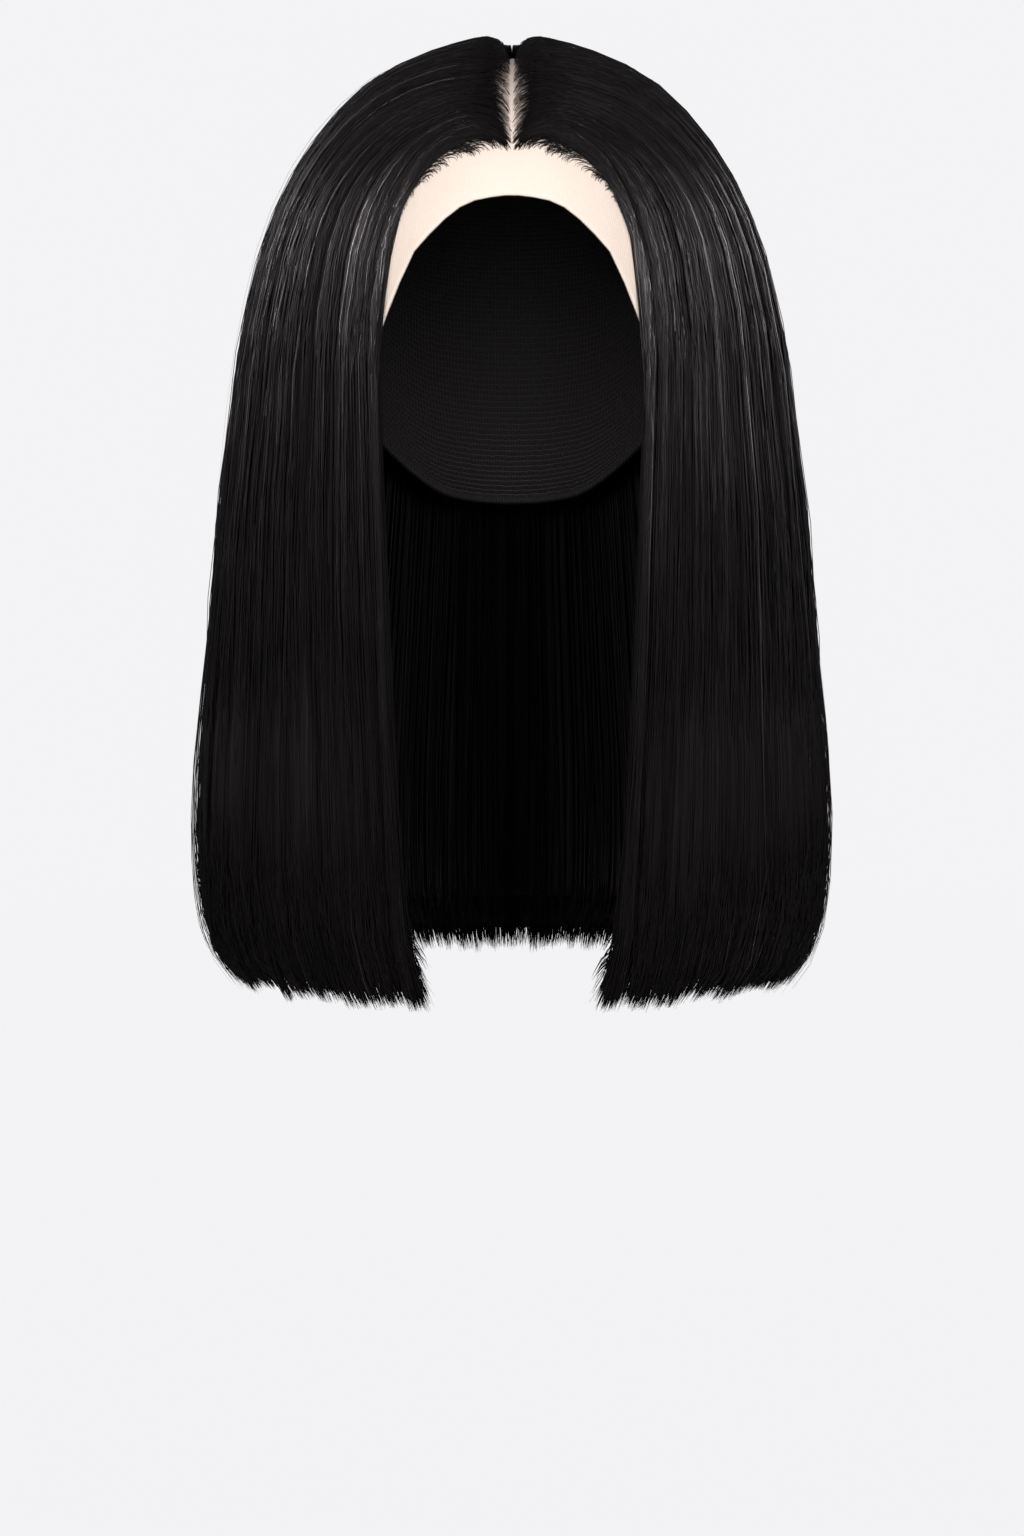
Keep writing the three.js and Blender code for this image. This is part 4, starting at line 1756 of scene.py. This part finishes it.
@dataclass
class Studio:
    """The pale floor, the soft lights and the camera, in metres."""

    floor_drop: float = 0.95
    floor_reach: float = 30.0
    floor_grey: Triple = (0.22, 0.22, 0.225)
    pale: Triple = (0.896, 0.896, 0.912)
    ambient: float = 0.04
    light_colour: Triple = (1.0, 0.93, 0.95)
    camera_height: float = -0.1757
    camera_distance: float = 1.3
    pitch: float = 4.306
    lens: float = 77.59
    sensor: float = 36.0
    aim: Triple = (0.0, 0.0, -0.14)
    side_power: float = 1.7
    front_power: float = 8.5
    front_lean: float = 0.4
    rim_power: float = 4.0
    back_power: float = 10.0
    lace_power: float = 25.0

    def build_floor(self) -> None:
        """Builds the floor, which fades into the pale surround."""
        mesh = bpy.data.meshes.new("floor")
        reach = self.floor_reach
        corners = [(-reach, -reach), (reach, -reach), (reach, reach), (-reach, reach)]
        mesh.from_pydata([(x, y, -self.floor_drop) for x, y in corners], [], [(0, 1, 2, 3)])
        floor = add_object("floor", mesh)
        material, tree, shader = new_material("pale_floor", 0.9, 0.5)
        tree.feed(shader.inputs["Base Color"], self.floor_grey)
        glow = tree.node("ShaderNodeEmission")
        tree.feed(glow.inputs[0], self.pale)
        place = tree.node("ShaderNodeTexCoord")
        far = tree.node("ShaderNodeVectorMath", operation="LENGTH")
        tree.link(place.outputs["Object"], far.inputs[0])
        fade = tree.node("ShaderNodeMapRange")
        for name, value in (("From Min", 1.0), ("From Max", 6.0), ("To Min", 0.99)):
            tree.feed(fade.inputs[name], value)
        tree.link(far.outputs["Value"], fade.inputs["Value"])
        seen = tree.node("ShaderNodeLightPath")
        share = tree.math("MULTIPLY", seen.outputs["Is Camera Ray"], fade.outputs[0])
        mixed = tree.node("ShaderNodeMixShader")
        tree.link(share, mixed.inputs[0])
        tree.link(shader.outputs[0], mixed.inputs[1])
        tree.link(glow.outputs[0], mixed.inputs[2])
        tree.link(mixed.outputs[0], material.node_tree.nodes["Material Output"].inputs[0])
        mesh.materials.append(material)

    def build_world(self) -> None:
        """Builds the pale surround, which lights the wig more softly than it looks."""
        world = bpy.data.worlds.new("surround")
        world.use_nodes = True
        bpy.context.scene.world = world
        tree = NodeMaker(world.node_tree)
        back = world.node_tree.nodes["Background"]
        tree.feed(back.inputs[0], self.pale)
        seen = tree.node("ShaderNodeLightPath").outputs["Is Camera Ray"]
        strength = tree.math("MULTIPLY_ADD", seen, 1 - self.ambient, self.ambient)
        tree.link(strength, back.inputs[1])

    def add_light(self, name: str, place: Triple, size: float, power: float) -> Object:
        """Adds a square softbox that faces the wig.

        Args:
            name: The light's name.
            place: Where it stands.
            size: Its side.
            power: Its power in watts.

        Returns:
            The light.
        """
        data = bpy.data.lights.new(name, "AREA")
        data.shape = "SQUARE"
        data.size = size
        data.energy = power
        data.color = self.light_colour
        light = bpy.data.objects.new(name, data)
        bpy.context.scene.collection.objects.link(light)
        light.location = place
        light.visible_camera = False
        light.rotation_euler = (Vector(self.aim) - Vector(place)).to_track_quat("-Z", "Y").to_euler()
        return light

    def build_lights(self) -> None:
        """Adds the soft lights."""
        for side in Side:
            name, way = side.name.lower(), side.value
            front = self.front_power + self.front_lean * way
            self.add_light("side_" + name, (1.45 * way, -0.53, 0.58), 0.75, self.side_power)
            self.add_light("front_" + name, (0.7 * way, -1.51, 0.25), 0.6, front)
            self.add_light("rim_" + name, (1.1 * way, 0.9, 0.35), 0.7, self.rim_power)
        self.add_light("back", (0, 1.55, 0.35), 0.8, self.back_power)
        soft = self.add_light("lace_fill", (0, -1.6, 0.15), 1.0, self.lace_power)
        lit = bpy.data.collections.new("lit_by_lace_fill")
        for piece in bpy.context.scene.objects:
            if piece.name.endswith("_shell"):
                lit.objects.link(piece)
        soft.light_linking.receiver_collection = lit
        soft.data.color = (1.0, 1.0, 1.0)

    def build_camera(self) -> None:
        """Adds the camera at the photograph's viewing angle."""
        data = bpy.data.cameras.new("camera")
        data.lens = self.lens
        data.sensor_width = self.sensor
        data.clip_end = 100
        camera = bpy.data.objects.new("camera", data)
        bpy.context.scene.collection.objects.link(camera)
        camera.location = (0.0, -self.camera_distance, self.camera_height)
        camera.rotation_euler = (math.radians(90 - self.pitch), 0, 0)
        bpy.context.scene.camera = camera

    def build(self) -> None:
        """Builds the whole stage."""
        self.build_floor()
        self.build_world()
        self.build_lights()
        self.build_camera()
        bpy.context.scene.view_settings.view_transform = "Standard"


@dataclass
class Wig:
    """The whole wig: its cap, its sections of hair and its loose hairs."""

    form: HairForm = HairForm()
    tree: StrandTree = field(default_factory=StrandTree)
    parts: tuple[tuple[str, int, int, int], ...] = (
        ("front_curtain", 0, 6, 1240),
        ("side_hair", 6, 11, 930),
        ("back_hair", 11, 16, 960),
    )

    def build(self) -> None:
        """Builds every piece in order."""
        strands = strand_material(HairFinish())
        mass = mass_material(MassFinish())
        lace = lace_material(LaceFinish())
        net = net_material(NetFinish())
        quarter = math.pi / 2
        CapHalf("lace_front", LACE_EDGE, -quarter, 1.0, -0.2, Slot.LACE).build(lace)
        CapHalf(
            "crown_cap", NET_EDGE, quarter, 1.2, 0.2, Slot.NET, rim=0.5, row_gap=9.0, row_height=0.5,
        ).build(net)
        for side in Side:
            for index, (name, first, last, count) in enumerate(self.parts):
                full = f"{name}_{side.name.lower()}"
                seed = 11 + index * 10 + side.value
                section = HairSection(full, side, first, last, count, seed, self.form)
                section.build_mass(mass)
                section.build_strands(self.tree, strands)
            Hairline(side, self.form).build(self.tree, strands)
        nape = NapeHair(self.form)
        nape.build_mass(mass)
        nape.build_strands(self.tree, strands)
        Flyaways(self.form).build(self.tree, strands)


def main() -> None:
    """Builds the stage and the wig."""
    logging.basicConfig(level=logging.INFO, format="%(name)s: %(message)s")
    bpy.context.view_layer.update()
    Wig().build()
    Studio().build()


if __name__ == "__main__":
    main()
